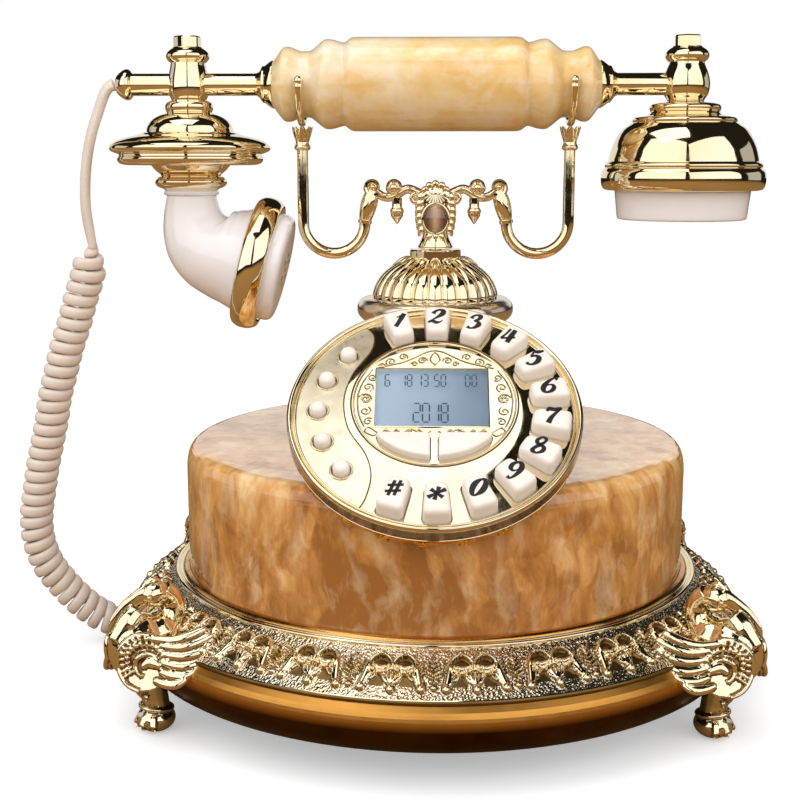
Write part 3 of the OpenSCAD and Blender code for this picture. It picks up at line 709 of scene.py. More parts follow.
def make_handset():
    half = rounded(GRIP)
    outline = np.vstack([half, half[::-1] * (1, -1)])
    build("onyx_handle", moved(lathe(outline, FINE), ON_HANDSET), "handset", "grip", 30, ("onyx_grip",))

    ferrule = [(8.8, 61.6), (9, 62.4), (7.4, 64.6), (6.9, 65.2), (6.9, 66), (6, 66.6), (4.6, 67.6),
               (4.15, 68.6)]
    knob = [(4.15, 116), (5.5, 116.9), (5.9, 118), (5.5, 119.3), (4.6, 120.6), (3.4, 121.9), (2.3, 122.4)]
    right = chain(ferrule, np.array([(4.15, POST_X + 4)]))
    tubes = joined(lathe(chain(ferrule, knob) * (1, -1)), lathe(right))
    build("gold_handset_tube", moved(tubes, ON_HANDSET), "handset", "gold", 40, ("handset_tube",))

    post = chain(
        FINIAL,
        rounded([(6.7, 236.6), (7.5, 233), (7.9, 229.4), (7.6, 226), (6.6, 223.8)], 3),
        [(7.4, 223.4), (8.9, 222.6), (9.3, 221), (8.6, 219.2)],
        [(9.2, 218.8), (12, 218), (14.8, 216.2), (16.4, 213.8), (16.6, 211.8)],
        [(18.4, 211.4), (19.2, 211), (20.4, 210.6), (25, 209.7), (29.4, 208), (30.9, 206.3),
         (30.4, 204.7), (28.4, 203.9), (27.4, 203.6)],
        [(27.5, 202.9), (28, 201.9), (27.4, 200.2), (25.6, 199.5), (22, 199.3), (16, 199.6)],
        [(15, 199.2), (13.6, 197.4), (11.6, 195.9), (11.4, 195.2)],
        [(12.6, 194.8), (13.8, 193.7), (13.7, 192.1), (12.4, 190.9), (10.6, 190.4), (10, 189.7)])
    bell = chain(
        FINIAL,
        rounded([(6.8, 236.8), (8.3, 233.4), (9.1, 229.8), (8.6, 226), (7, 223.8), (6.9, 223.2)], 3),
        [(8, 222.9), (12.6, 222.2), (13.6, 221.2), (13.2, 219.8), (12.9, 219.2)],
        [(13.4, 218.6), (15, 217.6), (18.9, 217.3), (19.8, 216.4), (19.5, 215.4)],
        rounded([(20.4, 214.8), (23.8, 212.6), (26.8, 207.4), (28.1, 202.6), (28.3, 200.8)], 3),
        [(28.9, 200.5), (29.7, 199.9), (29.7, 198.9), (29.3, 198.5)],
        [(29.9, 198.1), (31, 196.6), (31, 192.6), (30.2, 190.4), (28.6, 189.9), (26.4, 189.9)],
        np.array([(26, 190.6), (26, 192)]))
    for name, outline, place, node in (
            ("mouthpiece_post", post, AT_MIC, "mic_post"), ("ear_bell_shell", bell, AT_EAR, "ear_bell")):
        build(name, moved(joined(lathe(outline, FINE), hex_cap()), place), "handset", "gold", 32, (node,))

    horn_path = curve([
        (-94.5, 0, 189.9), (-94.5, 0, 187.6), (-94.5, 0, 185.5), (-94.3, 0, 180.5), (-93.2, 0, 175.5),
        (-90.8, 0, 170.8), (-87, 0, 167.3), (-82.4, 0, 165.2), (-78, 0, 163.9), (-73.6, 0, 162.8)], 8)
    horn_size = curve([(r, 0) for r in (9.9, 9.5, 10, 11.2, 13, 15, 16.6, 17.8, 19, 20.8)], 8)[:, 0]
    horn = sweep(horn_path, horn_size, None, 72)
    collar = moved(turned([(9, 190), (10.3, 189.8), (10.6, 188.9), (10.3, 188), (9, 187.7)], 2), AT_MIC)
    build("mouthpiece_horn", joined(horn, collar), "handset", "white", 50, ("mic_horn",))

    rim = rounded([(21, -0.3), (22.4, -0.5), (24.4, -0.3), (25.8, 2), (26, 4.2), (25.8, 6.6), (24.6, 9),
                   (23.8, 9.5), (22.9, 9.7), (22.1, 9.3), (21.2, 8.6)], 2)
    build("mouthpiece_rim", moved(lathe(rim, FINE, True), ON_MOUTH), "handset", "gold", 40, ("mic_rim",))

    cap = turned([(20.6, 5), (21, 9.4), (21, 12.4), (20, 14.4), (17, 15.2), (8, 15.4), (0.3, 15.4)], 3, 96)
    build("mouthpiece_cap", moved(cap, ON_MOUTH), "handset", "white", 50, ("mic_cap",))
    build("mouthpiece_holes", moved(seven_spots(1, 15.2, 15.46, 6), ON_MOUTH), "handset", "dark")

    ear = turned([(25.7, 192), (25.6, 189), (24.9, 183.6), (24.6, 179.9), (24.2, 179), (23, 178.8),
                         (10, 179.6), (0.3, 179.8)], 3, 120)
    build("ear_cap_shell", moved(ear, AT_EAR), "handset", "white", 50, ("ear_cap",))
    build("ear_cap_holes", moved(seven_spots(1.2, 179.2, 180, 8), AT_EAR), "handset", "dark")


make_handset()


# ---------- cradle ----------

ARM_X = 51.2
BEND_R = 12
BEND_Z = 177.6
ARM_R = 2.15
FORK_R = 14.4
STONE_Z = 179.2
FRONT = (0, -1, 0)


def spiral(centre, start_r, end_r, turns, start, thick, flat=1.0):
    """A scroll in the plane across Y, thinner towards its eye."""
    t = np.linspace(0, 1, int(22 * turns) + 4)
    angle = math.radians(start) + 2 * np.pi * turns * t
    r = start_r + (end_r - start_r) * t
    offsets = np.stack([r * np.cos(angle), np.zeros_like(r), r * np.sin(angle)], 1)
    size = thick * (1 - 0.45 * t)
    return sweep(np.array(centre) + offsets, size, size * flat, 10)


def shell_crest():
    parts = []
    for k in range(-2, 3):
        lean = math.radians(k * 31)
        tip = np.array((4.6 * math.sin(lean), -1.4, 187.8 + 4.4 * math.cos(lean)))
        root = np.array((1.0 * math.sin(lean), -3.6, 187))
        lobe = curve([root, (root + tip) / 2 + (0, -0.5, 0), tip], 6)
        parts.append(sweep(lobe, [0.8, 1.35, 1.5, 1.1], None, 12, FRONT))
        parts.append(egg(tip, (1.55, 1.2, 1.55), 18))
    for k in range(-4, 5):  # fan of ribs between shell and stone
        lean = math.radians(k * 13)
        root = (1.6 * math.sin(lean), -4.3, 188.2)
        tip = (5.4 * math.sin(lean), -4.7, 188.4 - 4 * math.cos(lean * 1.3))
        parts.append(sweep([root, tip], [0.35, 0.5], None, 8, FRONT))
    return parts


def stone_frame():
    """Leaves that lap down each side of the stone, small leaves at its foot, and its bezel."""
    parts = []
    for k in range(6):
        z = 173.6 + 2.5 * k
        half = 5.2 + 1.7 * math.sin(math.pi * (k + 1) / 8)
        path = [(half - 2.6, -2.8, z + 3.6), (half - 0.5, -3.7, z + 1.5), (half + 0.6, -2.5, z - 1.2)]
        blade = leaf(path, 2.8, 1.5, (0.5, -1, 0))
        parts += [both_sides(blade), both_sides(flipped(blade, 1))]
    parts += shell_crest()
    for k in range(-1, 2):
        path = [(k * 1.2, -4.6, 173.8), (k * 2.4, -5.2, 172.4), (k * 2.8, -4.8, 170.2)]
        parts.append(leaf(path, 2, 1.2, FRONT))
    a = np.linspace(0, 2 * np.pi, 41)
    bezel = np.stack([5 * np.cos(a), np.full(41, -5.1), STONE_Z + 5.8 * np.sin(a)], 1)
    parts.append(sweep(bezel, [0.6], None, 10, (0, 1, 0)))
    return parts


def scrolled_crossbar():
    """Half of the crossbar: volute at the stone, bar with a ridge, end scroll, rosette and drop."""
    bar = curve([(4, 0, 187.4), (7.6, 0, 189.3), (11, 0, 190.3), (14.6, 0, 188.4), (17.4, 0, 187.2),
                 (20.2, 0, 187.4), (22.4, 0, 188.8), (24, 0, 190.2)], 8)
    rosette = [egg((16, 0, 190.9), (3.3, 3.3, 3.3), 28), egg((16.1, -3, 190.9), (1.5, 1, 1.5), 16)]
    rosette += [leaf([(16 + 1.2 * math.cos(a), -3.1, 190.9 + 1.2 * math.sin(a)),
                      (16 + 3.1 * math.cos(a), -1.6, 190.9 + 3.1 * math.sin(a))], 1.6, 0.8, FRONT)
                for a in shares(6)]
    drop = turned([(1.9, 187), (1.9, 183.8), (2.1, 183), (2.6, 182.6), (2.7, 181.6), (2.3, 181),
                   (2.4, 180), (1.5, 178.8), (0.5, 177.2), (0.1, 176.9)], 2, 40)
    return [
        spiral((7.5, -1.6, 187.2), 2.4, 0.7, 1.6, 150, 0.95),
        egg((7.5, -1.6, 187.2), (0.9, 1.6, 0.9), 16),
        sweep(bar, [1.9, 1.75, 1.7, 1.6], [2.1, 1.9, 1.8, 1.8], 16),
        sweep(bar + (0, -1.3, 0.8), [0.65], None, 8),
        spiral((24.2, -0.6, 191), 3, 0.9, 1.5, 235, 1.25, 1.6),
        egg((24.2, -0.9, 191.1), (1.5, 2.6, 1.5), 20),
        joined(*rosette),
        moved(drop, at(14.9, 0, 0))]


def make_crest():
    """Stem: flared base, leaf frame round the stone, shell crest, volutes and the scrolled crossbar."""
    parts = [
        turned([(6.6, 167.75), (6.7, 168.6), (6.1, 170.2), (5.2, 172), (4.7, 174), (4.4, 178),
                (4.2, 186)], 2, 64),
        moved(egg((0, 0, 0), (7.4, 3.6, 9.2), 40), at(0, 0, 180.4))]
    parts += stone_frame()
    parts += [both_sides(part) for part in scrolled_crossbar()]
    build("cradle_crest", joined(*parts), "cradle", "cast", 45, ("cradle_stem",))


def make_arms():
    parts = []
    top, low = np.array((24.6, 0, 189.6)), np.array((27.3, 0, BEND_Z))
    for k in range(6):  # acanthus sleeve: long leaves round the tube
        out = np.array(polar(1, k * math.pi / 3, 0))
        path = [top + out * 1.9, top + (low - top) * 0.35 + out * 2.5,
                top + (low - top) * 0.75 + out * 2.1, low + out * 1.5 + (0.2, 0, -1)]
        parts.append(leaf(path, 3.4, 1.6, tuple(out)))
    parts.append(sweep([top, (top + low) / 2, low], [2.3, 2.7, 2.2]))
    parts.append(sweep([low + (-0.1, 0, 0.8), low + (0.05, 0, -0.4)], [2.7, 2.6], None, 24))
    bend = [(ARM_X - BEND_R - BEND_R * math.cos(a), 0, BEND_Z - BEND_R * math.sin(a))
            for a in np.linspace(0, math.pi, 33)]
    tube = np.vstack([[low + (-0.2, 0, 2)], bend, [(ARM_X, 0, 190), (ARM_X, 0, 206)]])
    tube[1:-2, 0] += np.linspace(0.1, 0, 33)
    parts.append(sweep(tube, [ARM_R], None, 24))
    crown = turned([(2.2, 204.9), (2.9, 205.3), (3.3, 206.1), (2.7, 207), (2.5, 208.2), (2.9, 209.4),
                    (2.2, 210.4), (1.8, 213)], 2, 48)
    petals = [
        leaf([polar(2.2, a, 208.4), polar(2.9, a, 211.2), polar(3.9, a, 213.9)], 2.6, 1.1, polar(1, a, 0))
        for a in shares(8)]
    parts.append(moved(joined(crown, *petals), at(ARM_X, 0, 0)))
    a = np.linspace(-math.pi, 0, 37)
    fork = np.stack([np.full(37, ARM_X), FORK_R * np.cos(a), HANDSET_Z + FORK_R * np.sin(a)], 1)
    parts.append(sweep(fork, [1.35], None, 16, (1, 0, 0)))
    for side in (-1, 1):
        tip = np.array((ARM_X, side * FORK_R, HANDSET_Z))
        parts.append(egg(tip + (0, 0, 0.6), (1.75, 1.75, 1.9), 20))
        parts.append(sweep([tip - (0, 0, 1.6), tip - (0, 0, 0.6)], [1.75], None, 16, (1, 0, 0)))
    build("cradle_arm_pair", both_sides(joined(*parts)), "cradle", "gold", 45, ("cradle_arms",))


def make_cabochon():
    stone = egg((0, -4.9, STONE_Z), (4.6, 2.6, 5.4), 48)
    build("cabochon_stone", stone, "cradle", "cabochon", 60, ("cabochon",))


make_crest()
make_arms()
make_cabochon()


# ---------- pillar and dome ----------

FLUTES = 26
DOME_BOTTOM, OCTAGON_BOTTOM, OCTAGON_TOP = 148.8, 163.5, 167.3


def fluted_dome():
    outline = rounded([(24.2, DOME_BOTTOM), (24.4, 150.4), (23.4, 154), (20.8, 157.8), (16.4, 161.2),
                       (10.4, OCTAGON_BOTTOM + 0.3)], 3)
    steps = FLUTES * 12
    angle = round_steps(steps)
    across = (np.arange(steps) % 12) / 6 - 1  # -1 to 1 over one flute
    rows = []
    for i, (r, z) in enumerate(outline):
        groove = min(1.0, 0.35 + r / 24.4) * (0.7 * across**2 + 0.6 * across**10)
        lift = 1.4 * across**2 * max(0, 1 - i / 8)
        ring = r - groove
        rows.append(ring_row(ring, angle, z + lift))
    points = np.vstack(rows)
    return points, grid_faces(len(outline), steps)


def make_dome():
    parts = [fluted_dome()]
    parts.append(lathe([(22.4, DOME_BOTTOM), (22.6, 149.8), (21, 151)]))
    corners = [polar(10.6, a) for a in (np.arange(8) + 0.5) * math.pi / 4]
    levels = [(0.6, OCTAGON_BOTTOM - 0.6), (0, OCTAGON_BOTTOM), (0, OCTAGON_TOP - 0.5), (0.5, OCTAGON_TOP)]
    parts.append(prism(round_corners(corners, 0.5, 3), levels))
    for k in range(16):
        a = k * math.pi / 8
        reach, low = (14.4, 161.9) if k % 2 else (16.6, 160.5)
        path = [polar(9.6, a, 163.8), polar(12.6, a, 163.7), polar(reach, a, low + 0.5)]
        parts.append(leaf(path, 2.6, 1.2, polar(0.4, a, 1)))
    build("fluted_dome_shell", joined(*parts), "base", "cast", 40, ("fluted_dome",))

    column = chain(
        rounded([(31, 93.6), (31, 96), (28, 99), (19, 101.5), (14.5, 106), (12.5, 115), (13, 126),
                 (16, 133), (24, 137.5), (28.4, 140.2), (30.4, 142.6), (30.4, 146), (28.6, 148.2),
                 (26.4, 148.7)], 3),
        np.array([(25, 148.8), (20, 148.8)]))
    build("pillar_column", lathe(column, FINE), "base", "pearl", 40, ("pillar",))


make_dome()


# ---------- frieze ----------

PERIODS = 26
CELLS = 80
ROWS = 54
FRIEZE_LOW, FRIEZE_HIGH = (118.6, 32.1), (103.0, 43.4)
FRIEZE_MIDDLE_R = 111
RELIEF_FROM = 0.12  # mm above the ground of the band
GRAIN = 0.07
EDGE_SHARE = 0.03
# dark faces are painted shade in the band's recesses and round its relief, with a painted dark reflection on its
# bosses
GROUND_FACE, GOLD_FACE, DARK_FACE = 0, 1, 2  # which of the band's materials a face takes


def stroke_height(x, y, path, radius, height):
    """Half-round ridge along a polyline, over the grid x, y."""
    best = np.full(x.shape, 1e9)
    for (ax, ay), (bx, by) in zip(path[:-1], path[1:]):
        dx, dy = bx - ax, by - ay
        t = np.clip(((x - ax) * dx + (y - ay) * dy) / max(dx * dx + dy * dy, 1e-9), 0, 1)
        best = np.minimum(best, np.hypot(x - ax - t * dx, y - ay - t * dy))
    return height * np.sqrt(np.clip(1 - (best / radius) ** 2, 0, 1))


def bead(x, y, cx, cy, rx, ry, height):
    return height * np.sqrt(np.clip(1 - ((x - cx) / rx) ** 2 - ((y - cy) / ry) ** 2, 0, 1))


def motif(x, y, half):
    """One period of relief and its dark mask: painted shade in its recesses, its hole and round the sprig, and a
    painted dark reflection on the top of each boss; rimmed bosses over draped legs, leaf sprigs beside.
    """
    h = np.zeros(x.shape)
    dark = np.zeros(x.shape, bool)

    def add(ridge):
        nonlocal h
        dark[ridge > np.maximum(h, 0.2)] = False
        h = np.maximum(h, ridge)

    for side in (-1, 1):
        u = x * side
        # painted shade: the recess between the legs is sunk and dark
        gap = (np.abs(u - 4.5 - 0.25 * (7.2 - y)) < 2.4) & (np.abs(y - 6.6) < 2)
        h = np.where(gap, -0.8, h)
        dark |= gap
        for path, thick, tall in (
                ([(7.7, 12.6), (8.3, 9.8), (8.8, 7), (9.3, 4.8)], 1.35, 1.5),
                ([(6.6, 9.4), (7.5, 7.4), (8.1, 5.4)], 0.6, 1.3),
                ([(4.8, 8.8), (5.6, 7.8), (6.6, 6.9)], 0.55, 1.1),
                ([(3.2, 8.6), (2.5, 7.2), (1.6, 5.9)], 0.55, 1.2),
                ([(1.9, 9.6), (1.3, 7.6), (0.5, 5.4)], 0.8, 1.4)):
            add(stroke_height(u, y, path, thick, tall))
        for k in range(4):
            low = 9.2 + 1.25 * k
            add(stroke_height(u, y, [(9.3 - 0.1 * k, low), (10.5 - 0.26 * k, low + 0.8)], 0.36, 1.0))
        add(bead(u, y, 9.5, 3.9, 1.5, 1.8, 1.8))
        # painted shade: the moat round the boss is sunk and dark
        moat = np.hypot((u - 4) / 4, (y - 12.2) / 4.1) < 1
        h = np.where(moat, -0.3, h)
        dark |= moat
        rim = [(4 + 3.75 * math.cos(a), 12.2 + 3.85 * math.sin(a))
               for a in np.linspace(-0.5, math.pi + 0.5, 26)]
        add(stroke_height(u, y, rim, 0.6, 1.7))
        add(bead(u, y, 4, 11, 3.1, 2.9, 1.5))
        # the folds below sit under the hood, whose upper part is a painted dark reflection
        for k in range(3):  # folds below the dark of the hood
            sag = 10.9 - 1.1 * k
            fold = [(4 + (2.8 - 0.5 * k) * t, sag + 1.1 * t * t) for t in (-1, -0.6, 0, 0.6, 1)]
            add(stroke_height(u, y, fold, 0.42, 1.9))
        # painted reflection: the upper part of the boss, which faces up, is dark
        dark |= (np.hypot((u - 4) / 2.8, (y - 12.7) / 2.9) < 1) & (y > 11.5 + 0.1 * (u - 4) ** 2)
        add(bead(u, y, half, 4.4, 1.15, 1.25, 1.4))
        # painted shade: a dark hole in the drop
        dark |= np.hypot(u - half, y - 4.5) < 0.55
        add(bead(u, y, half - 0.9, 6.6, 0.7, 0.7, 1.1))
        # painted shade: the ground round the sprig's stem is dark
        dark |= (np.abs(u - half) < 2 - 0.2 * (y - 7)) & (y > 7) & (y < 14)
        add(stroke_height(u, y, [(half, 12), (half, 15.6)], 0.42, 1.3))
        for k in range(5):
            low = 7.6 + 1.5 * k
            reach = 2.5 - 0.24 * k
            add(stroke_height(u, y, [(half - 0.3, low), (half - reach, low + 1.15)], 0.42, 1.2))
    add(stroke_height(x, y, [(0, 8.6), (0, 4.8)], 0.7, 1.5))
    add(bead(x, y, 0, 3.7, 1.35, 2.0, 1.9))
    return h, dark


def make_frieze():
    low, high = np.array(FRIEZE_LOW), np.array(FRIEZE_HIGH)
    slope = np.linalg.norm(high - low)
    out = np.array((high[1] - low[1], low[0] - high[0])) / slope
    v = np.linspace(0, 1, ROWS)
    cells = PERIODS * CELLS
    angle = round_steps(cells) - math.pi / 2
    half = np.pi * FRIEZE_MIDDLE_R / PERIODS
    x = (np.arange(CELLS) / CELLS - 0.5)[None, :] * 2 * half * np.ones((ROWS, 1))
    y = (v * slope)[:, None] * np.ones((1, CELLS))
    height, shadow = (np.tile(grid, (1, PERIODS)) for grid in motif(x, y, half))
    relief = height > RELIEF_FROM
    near = relief | np.roll(relief, 1, 1) | np.roll(relief, -1, 1)
    near[1:-1] |= relief[:-2] | relief[2:]
    # painted shade: the ground next to the relief is dark too, outlining it
    shadow |= near & ~relief
    grain = rng.normal(0, GRAIN, (ROWS, cells)) * np.clip((v - 0.5) / 0.3, 0, 1)[:, None]
    height = (height + np.where(near, 0, grain)) * np.clip(np.minimum(v, 1 - v) / EDGE_SHARE, 0, 1)[:, None]
    radius = low[0] + (high[0] - low[0]) * v[:, None] + out[0] * height
    level = low[1] + (high[1] - low[1]) * v[:, None] + out[1] * height
    before = rounded([(112, 30.4), (118.6, 30.3), (119.2, 30.7), (119.3, 31.3), (118.9, 31.9)], 1)
    after = np.vstack([
        rounded([(103.1, 43.6), (103.2, 44.3), (102.6, 44.9), (101.8, 44.7), (101.5, 44.1)], 1),
        rounded([(101.2, 44), (101, 44.5), (100.5, 44.7), (100.1, 44.4), (100, 43.9)], 1),
        rounded([(99.8, 43.9), (99.2, 44.4), (98.6, 45.1), (98.2, 45.3), (96, 45.35)], 1)])
    table = np.stack([ring_row(r, angle, z) for r, z in (*before, *zip(radius, level), *after)])
    finish = np.full((len(table) - 1, cells), GOLD_FACE)
    first = len(before)
    finish[:first - 1] = DARK_FACE
    band = np.where(relief, GOLD_FACE, GROUND_FACE)
    band[shadow] = DARK_FACE
    finish[first:first + ROWS - 1] = band[:-1]
    half = cells // 2
    for name, columns, stands_for in (
            ("frieze_relief_right", np.arange(0, half + 1), ("frieze_band",)),
            ("frieze_relief_left", np.arange(half, cells + 1) % cells, ())):
        shape = table[:, columns].reshape(-1, 3), grid_faces(len(table), half + 1, False)
        picked = finish[:, columns[:-1]].ravel()
        build(name, shape, "base", "frieze", 70, stands_for, ("gold", "line"), picked)
    step = rounded([(100.4, 43.9), (100.3, 44.7), (99.4, 45.6), (98.5, 45.9), (97.7, 45.9), (97.6, 45.3)])
    build("drum_seat_ring", uncapped(step), "base", "step", 50)


make_frieze()


# ---------- swan feet ----------

FOOT_R = 122.0
FOOT_ANGLE = 35.8
CAST_VOXEL, CAST_ROUNDS = 0.4, 2
# share of the swans' faces, the deepest in creases, that take dark gold as painted shade
CREASE_SHARE = 0.14
WING_STEPS = 36
PUSH_STEP, PUSH_MOST = 0.25, 12  # how the wing is lifted clear of the body
TIP_BEND = 0.012
BODY_CENTRE = np.array((5.6, 0, 32.5))
BODY_RADII = np.array((11.6, 9.8, 12.2))
WING_CENTRE = np.array((8.4, 11.2, 30.4))
WING_FACE = unit(np.array((0.62, 0.66, 0.42)))
WING_UP = unit(np.array((0, 0, 1.0)) - WING_FACE * WING_FACE[2])
WING_OUT = np.cross(WING_UP, WING_FACE)


def swan_body():
    """Body, neck, head, bill, legs and foot in one casting, before its surface is blended."""
    parts = [
        egg(BODY_CENTRE, BODY_RADII, 40),
        egg((-1, 0, 36), (9, 8.4, 8), 32),
        egg((4.5, 0, 25.5), (8.4, 7.6, 8.5), 32),
        sweep(curve([(-1, 0, 37), (-6.2, 0, 42), (-6.6, 0, 47.5), (-3, 0, 51.6)], 6), [6, 5, 4.2, 4.2]),
        sweep(curve([(6, 0, 45.5), (9.5, 0, 42), (14.5, 0, 36)], 6), [4.6, 5.4, 4.2]),
        egg((-0.6, 0, 50.6), (5.6, 4.7, 4.6), 32),
        sweep(curve([(1.5, 0, 51.4), (6.5, 0, 49.4), (11, 0, 46.6), (14.6, 0, 42.9), (16.2, 0, 39.6)], 6),
              [4, 3.4, 3.1, 2.4, 1.1], [2.6, 1.4, 1.1, 0.9, 0.6]),
        sweep(curve([(-3.6, 0, 53.8), (0.4, 0, 55.4), (4.8, 0, 53)], 6), [0.8, 1.9, 0.8], [0.6, 1.0, 0.5]),
        sweep([(3.4, 0, 26), (2.2, 0, 19), (0.8, 0, 13), (0.2, 0, 8)], [7.2, 5.8, 4.8, 4.9]),
        egg((0.4, 0, 4.6), (6.9, 6.6, 4.9), 32),
    ]
    for side in (-1, 1):
        parts.append(egg((4.6, 7.4 * side, 25.6), (5.2, 4.2, 5.6), 24))
        parts.append(egg((3.4, 4.4 * side, 50.9), (1.0, 0.8, 1.0), 14))
        for k in range(3):  # folds down the thigh
            start = (8.2 - 0.8 * k, 6.6 * side, 21.5 - 2.7 * k)
            ends = [(7.4 - k, 1.5 * side, 19 - 2.7 * k), (6.6 - k, -side, 18.6 - 2.7 * k)]
            parts.append(sweep(curve([start, *ends], 6), [0.9], None, 8))
    strap = [(0.3 + 5.7 * math.cos(a), 5.5 * math.sin(a), 8.9 + 0.9 * math.cos(a))
             for a in np.linspace(0, 2 * np.pi, 33)]
    parts.append(sweep(strap, [0.8], None, 8, (0, 0, 1)))
    for k in range(4):  # toes
        a = math.radians(-54 + 36 * k)
        toe = [(long * math.cos(a), wide * math.sin(a), z)
               for long, wide, z in ((3.2, 3.2, 8), (5.8, 5.6, 6), (7.0, 6.7, 3.4), (6.6, 6.3, 1.9))]
        parts.append(sweep(toe, [1.2, 1.5, 1.7, 1.6], None, 10, (0, 0, 1)))
    return joined(*parts)


def on_wing(a, b, lift=0.0):
    """A point of the wing, a to its tip and b upward, draped over the body."""
    spot = WING_CENTRE + a * WING_OUT + b * WING_UP
    push = 0.0
    while push < PUSH_MOST:
        from_body = (spot + push * WING_FACE - BODY_CENTRE) / (BODY_RADII + 0.5)
        if np.sum(from_body**2) >= 1:
            break
        push += PUSH_STEP
    bend = -TIP_BEND * max(a - 4, 0) ** 2
    return spot + (push + lift + bend) * WING_FACE


def swan_wing():
    """Long feathers that fan from the shoulder to the tip, with rows of small ones over their roots."""
    parts = []
    feathers = [
        [(0, 8.6), (8, 8.2), (14, 10), (19.6, 13.4)], [(4.4, 6.2), (11, 6), (16.5, 7.8), (22, 11.4)],
        [(5.6, 3.4), (12, 3), (17.5, 4.6), (22.6, 8)], [(6, 0.4), (12, -0.4), (17, 0.8), (21.4, 4.4)],
        [(5.4, -2.6), (10.5, -3.8), (15, -3), (19, 0.4)], [(3.6, -5.4), (8, -6.8), (12, -6.4),
            (15.6, -3.6)]]
    for line in feathers:
        path = np.array([on_wing(a, b, 0.6) for a, b in curve(line, 6)])
        swell = np.interp(np.linspace(0, 1, 12), [0, 0.12, 0.6, 0.9, 1], [0.8, 1.35, 1.75, 1.5, 0.7])
        parts.append(sweep(path, swell, swell * 0.7, 12, tuple(WING_FACE)))
    disc = []
    for r in np.linspace(0.2, 9.6, 10):
        disc += [on_wing(*polar(r, a), -0.25) for a in np.linspace(0, 2 * np.pi, WING_STEPS,
            endpoint=False)]
    disc = np.array(disc)
    edge = disc[-WING_STEPS:] - WING_FACE * 1.6
    middle = np.vstack([disc, edge])
    parts.append((middle, grid_faces(11, WING_STEPS) + caps(11, WING_STEPS)))
    rim = np.array([on_wing(*polar(9.7, a), 0.1) for a in np.linspace(1.25, 4.6, 30)])
    parts.append(sweep(rim, [0.7, 1.0, 0.7], None, 10, tuple(WING_FACE)))
    for radius, count, long in [(8.1, 16, 0.95), (6.4, 14, 0.8)]:
        for k in range(count):
            a = 0.15 + 3.6 * k / (count - 1)
            start = on_wing(*polar(radius - long, a), 0.25)
            end = on_wing(*polar(radius + long, a + 0.06), 0.45)
            parts.append(leaf([start, (start + end) / 2 + WING_FACE * 0.4, end], 1.35, 1.1,
                              tuple(WING_FACE), 8))
    thigh = np.array([on_wing(4.4 * math.cos(a) + 0.8, 3.9 * math.sin(a) - 0.8,
                              0.35) for a in np.linspace(0.5, 4.4, 24)])
    parts.append(sweep(thigh, [0.5, 0.95, 0.6], None, 10, tuple(WING_FACE)))
    path = [on_wing(a, b, 0.4) for a, b in [(-1.2, -1.4), (1.2, 0.4), (4.2, -0.2), (6, -1.6)]]
    parts.append(leaf(path, 3.4, 1.8, tuple(WING_FACE)))
    return joined(*parts)


def blended(shape, voxel, rounds):
    """The shapes merged into one skin and softened, as in a casting."""
    mesh = bpy.data.meshes.new("casting")
    mesh.from_pydata(np.asarray(shape[0]).tolist(), [], shape[1])
    work = bpy.data.objects.new("casting", mesh)
    bpy.context.scene.collection.objects.link(work)
    remesh = work.modifiers.new("skin", "REMESH")
    remesh.mode = "VOXEL"
    remesh.voxel_size = voxel
    soften = work.modifiers.new("soften", "SMOOTH")
    soften.factor = 0.5
    soften.iterations = rounds
    done = work.evaluated_get(bpy.context.evaluated_depsgraph_get()).to_mesh()
    points = np.array([v.co for v in done.vertices])
    faces = [tuple(p.vertices) for p in done.polygons]
    bpy.data.objects.remove(work)
    bpy.data.meshes.remove(mesh)
    return points, faces


def crevices(points, faces, share):
    """The share of faces that lie deepest in creases, where neighbours stand above the surface."""
    quads = np.array(faces)
    a, b, c, d = quads.T
    flat = np.cross(points[c] - points[a], points[d] - points[b])
    outward = np.zeros(points.shape)
    total = np.zeros(points.shape)
    count = np.zeros((len(points), 1))
    for corner, following in ((a, b), (b, c), (c, d), (d, a)):
        np.add.at(outward, corner, flat)
        for one, other in ((corner, following), (following, corner)):
            np.add.at(total, one, points[other])
            np.add.at(count, one, 1)
    outward /= np.linalg.norm(outward, axis=1, keepdims=True) + 1e-9
    lift = ((total / count - points) * outward).sum(1)
    depth = lift[quads].mean(1)
    return (depth > np.quantile(depth, 1 - share)).astype(int)


def make_swans():
    swan = blended(joined(swan_body(), both_sides(swan_wing(), 1)), CAST_VOXEL, CAST_ROUNDS)
    # painted shade: the faces deepest in creases take the dark gold
    creases = crevices(*swan, CREASE_SHARE)
    places = {
        "front_left": 180 + FOOT_ANGLE, "front_right": -FOOT_ANGLE,
        "rear_left": 180 - FOOT_ANGLE, "rear_right": FOOT_ANGLE}
    for place, angle in places.items():
        shape = moved(swan, turn(angle, "Z") @ at(FOOT_R, 0, 0))
        shape[0][:, 2] = np.maximum(shape[0][:, 2], 0.0)
        build("swan_" + place, shape, "base", "cast", 80, ("swan_foot_" + place,),
              ("line",), creases)


make_swans()


# ---------- dial ----------

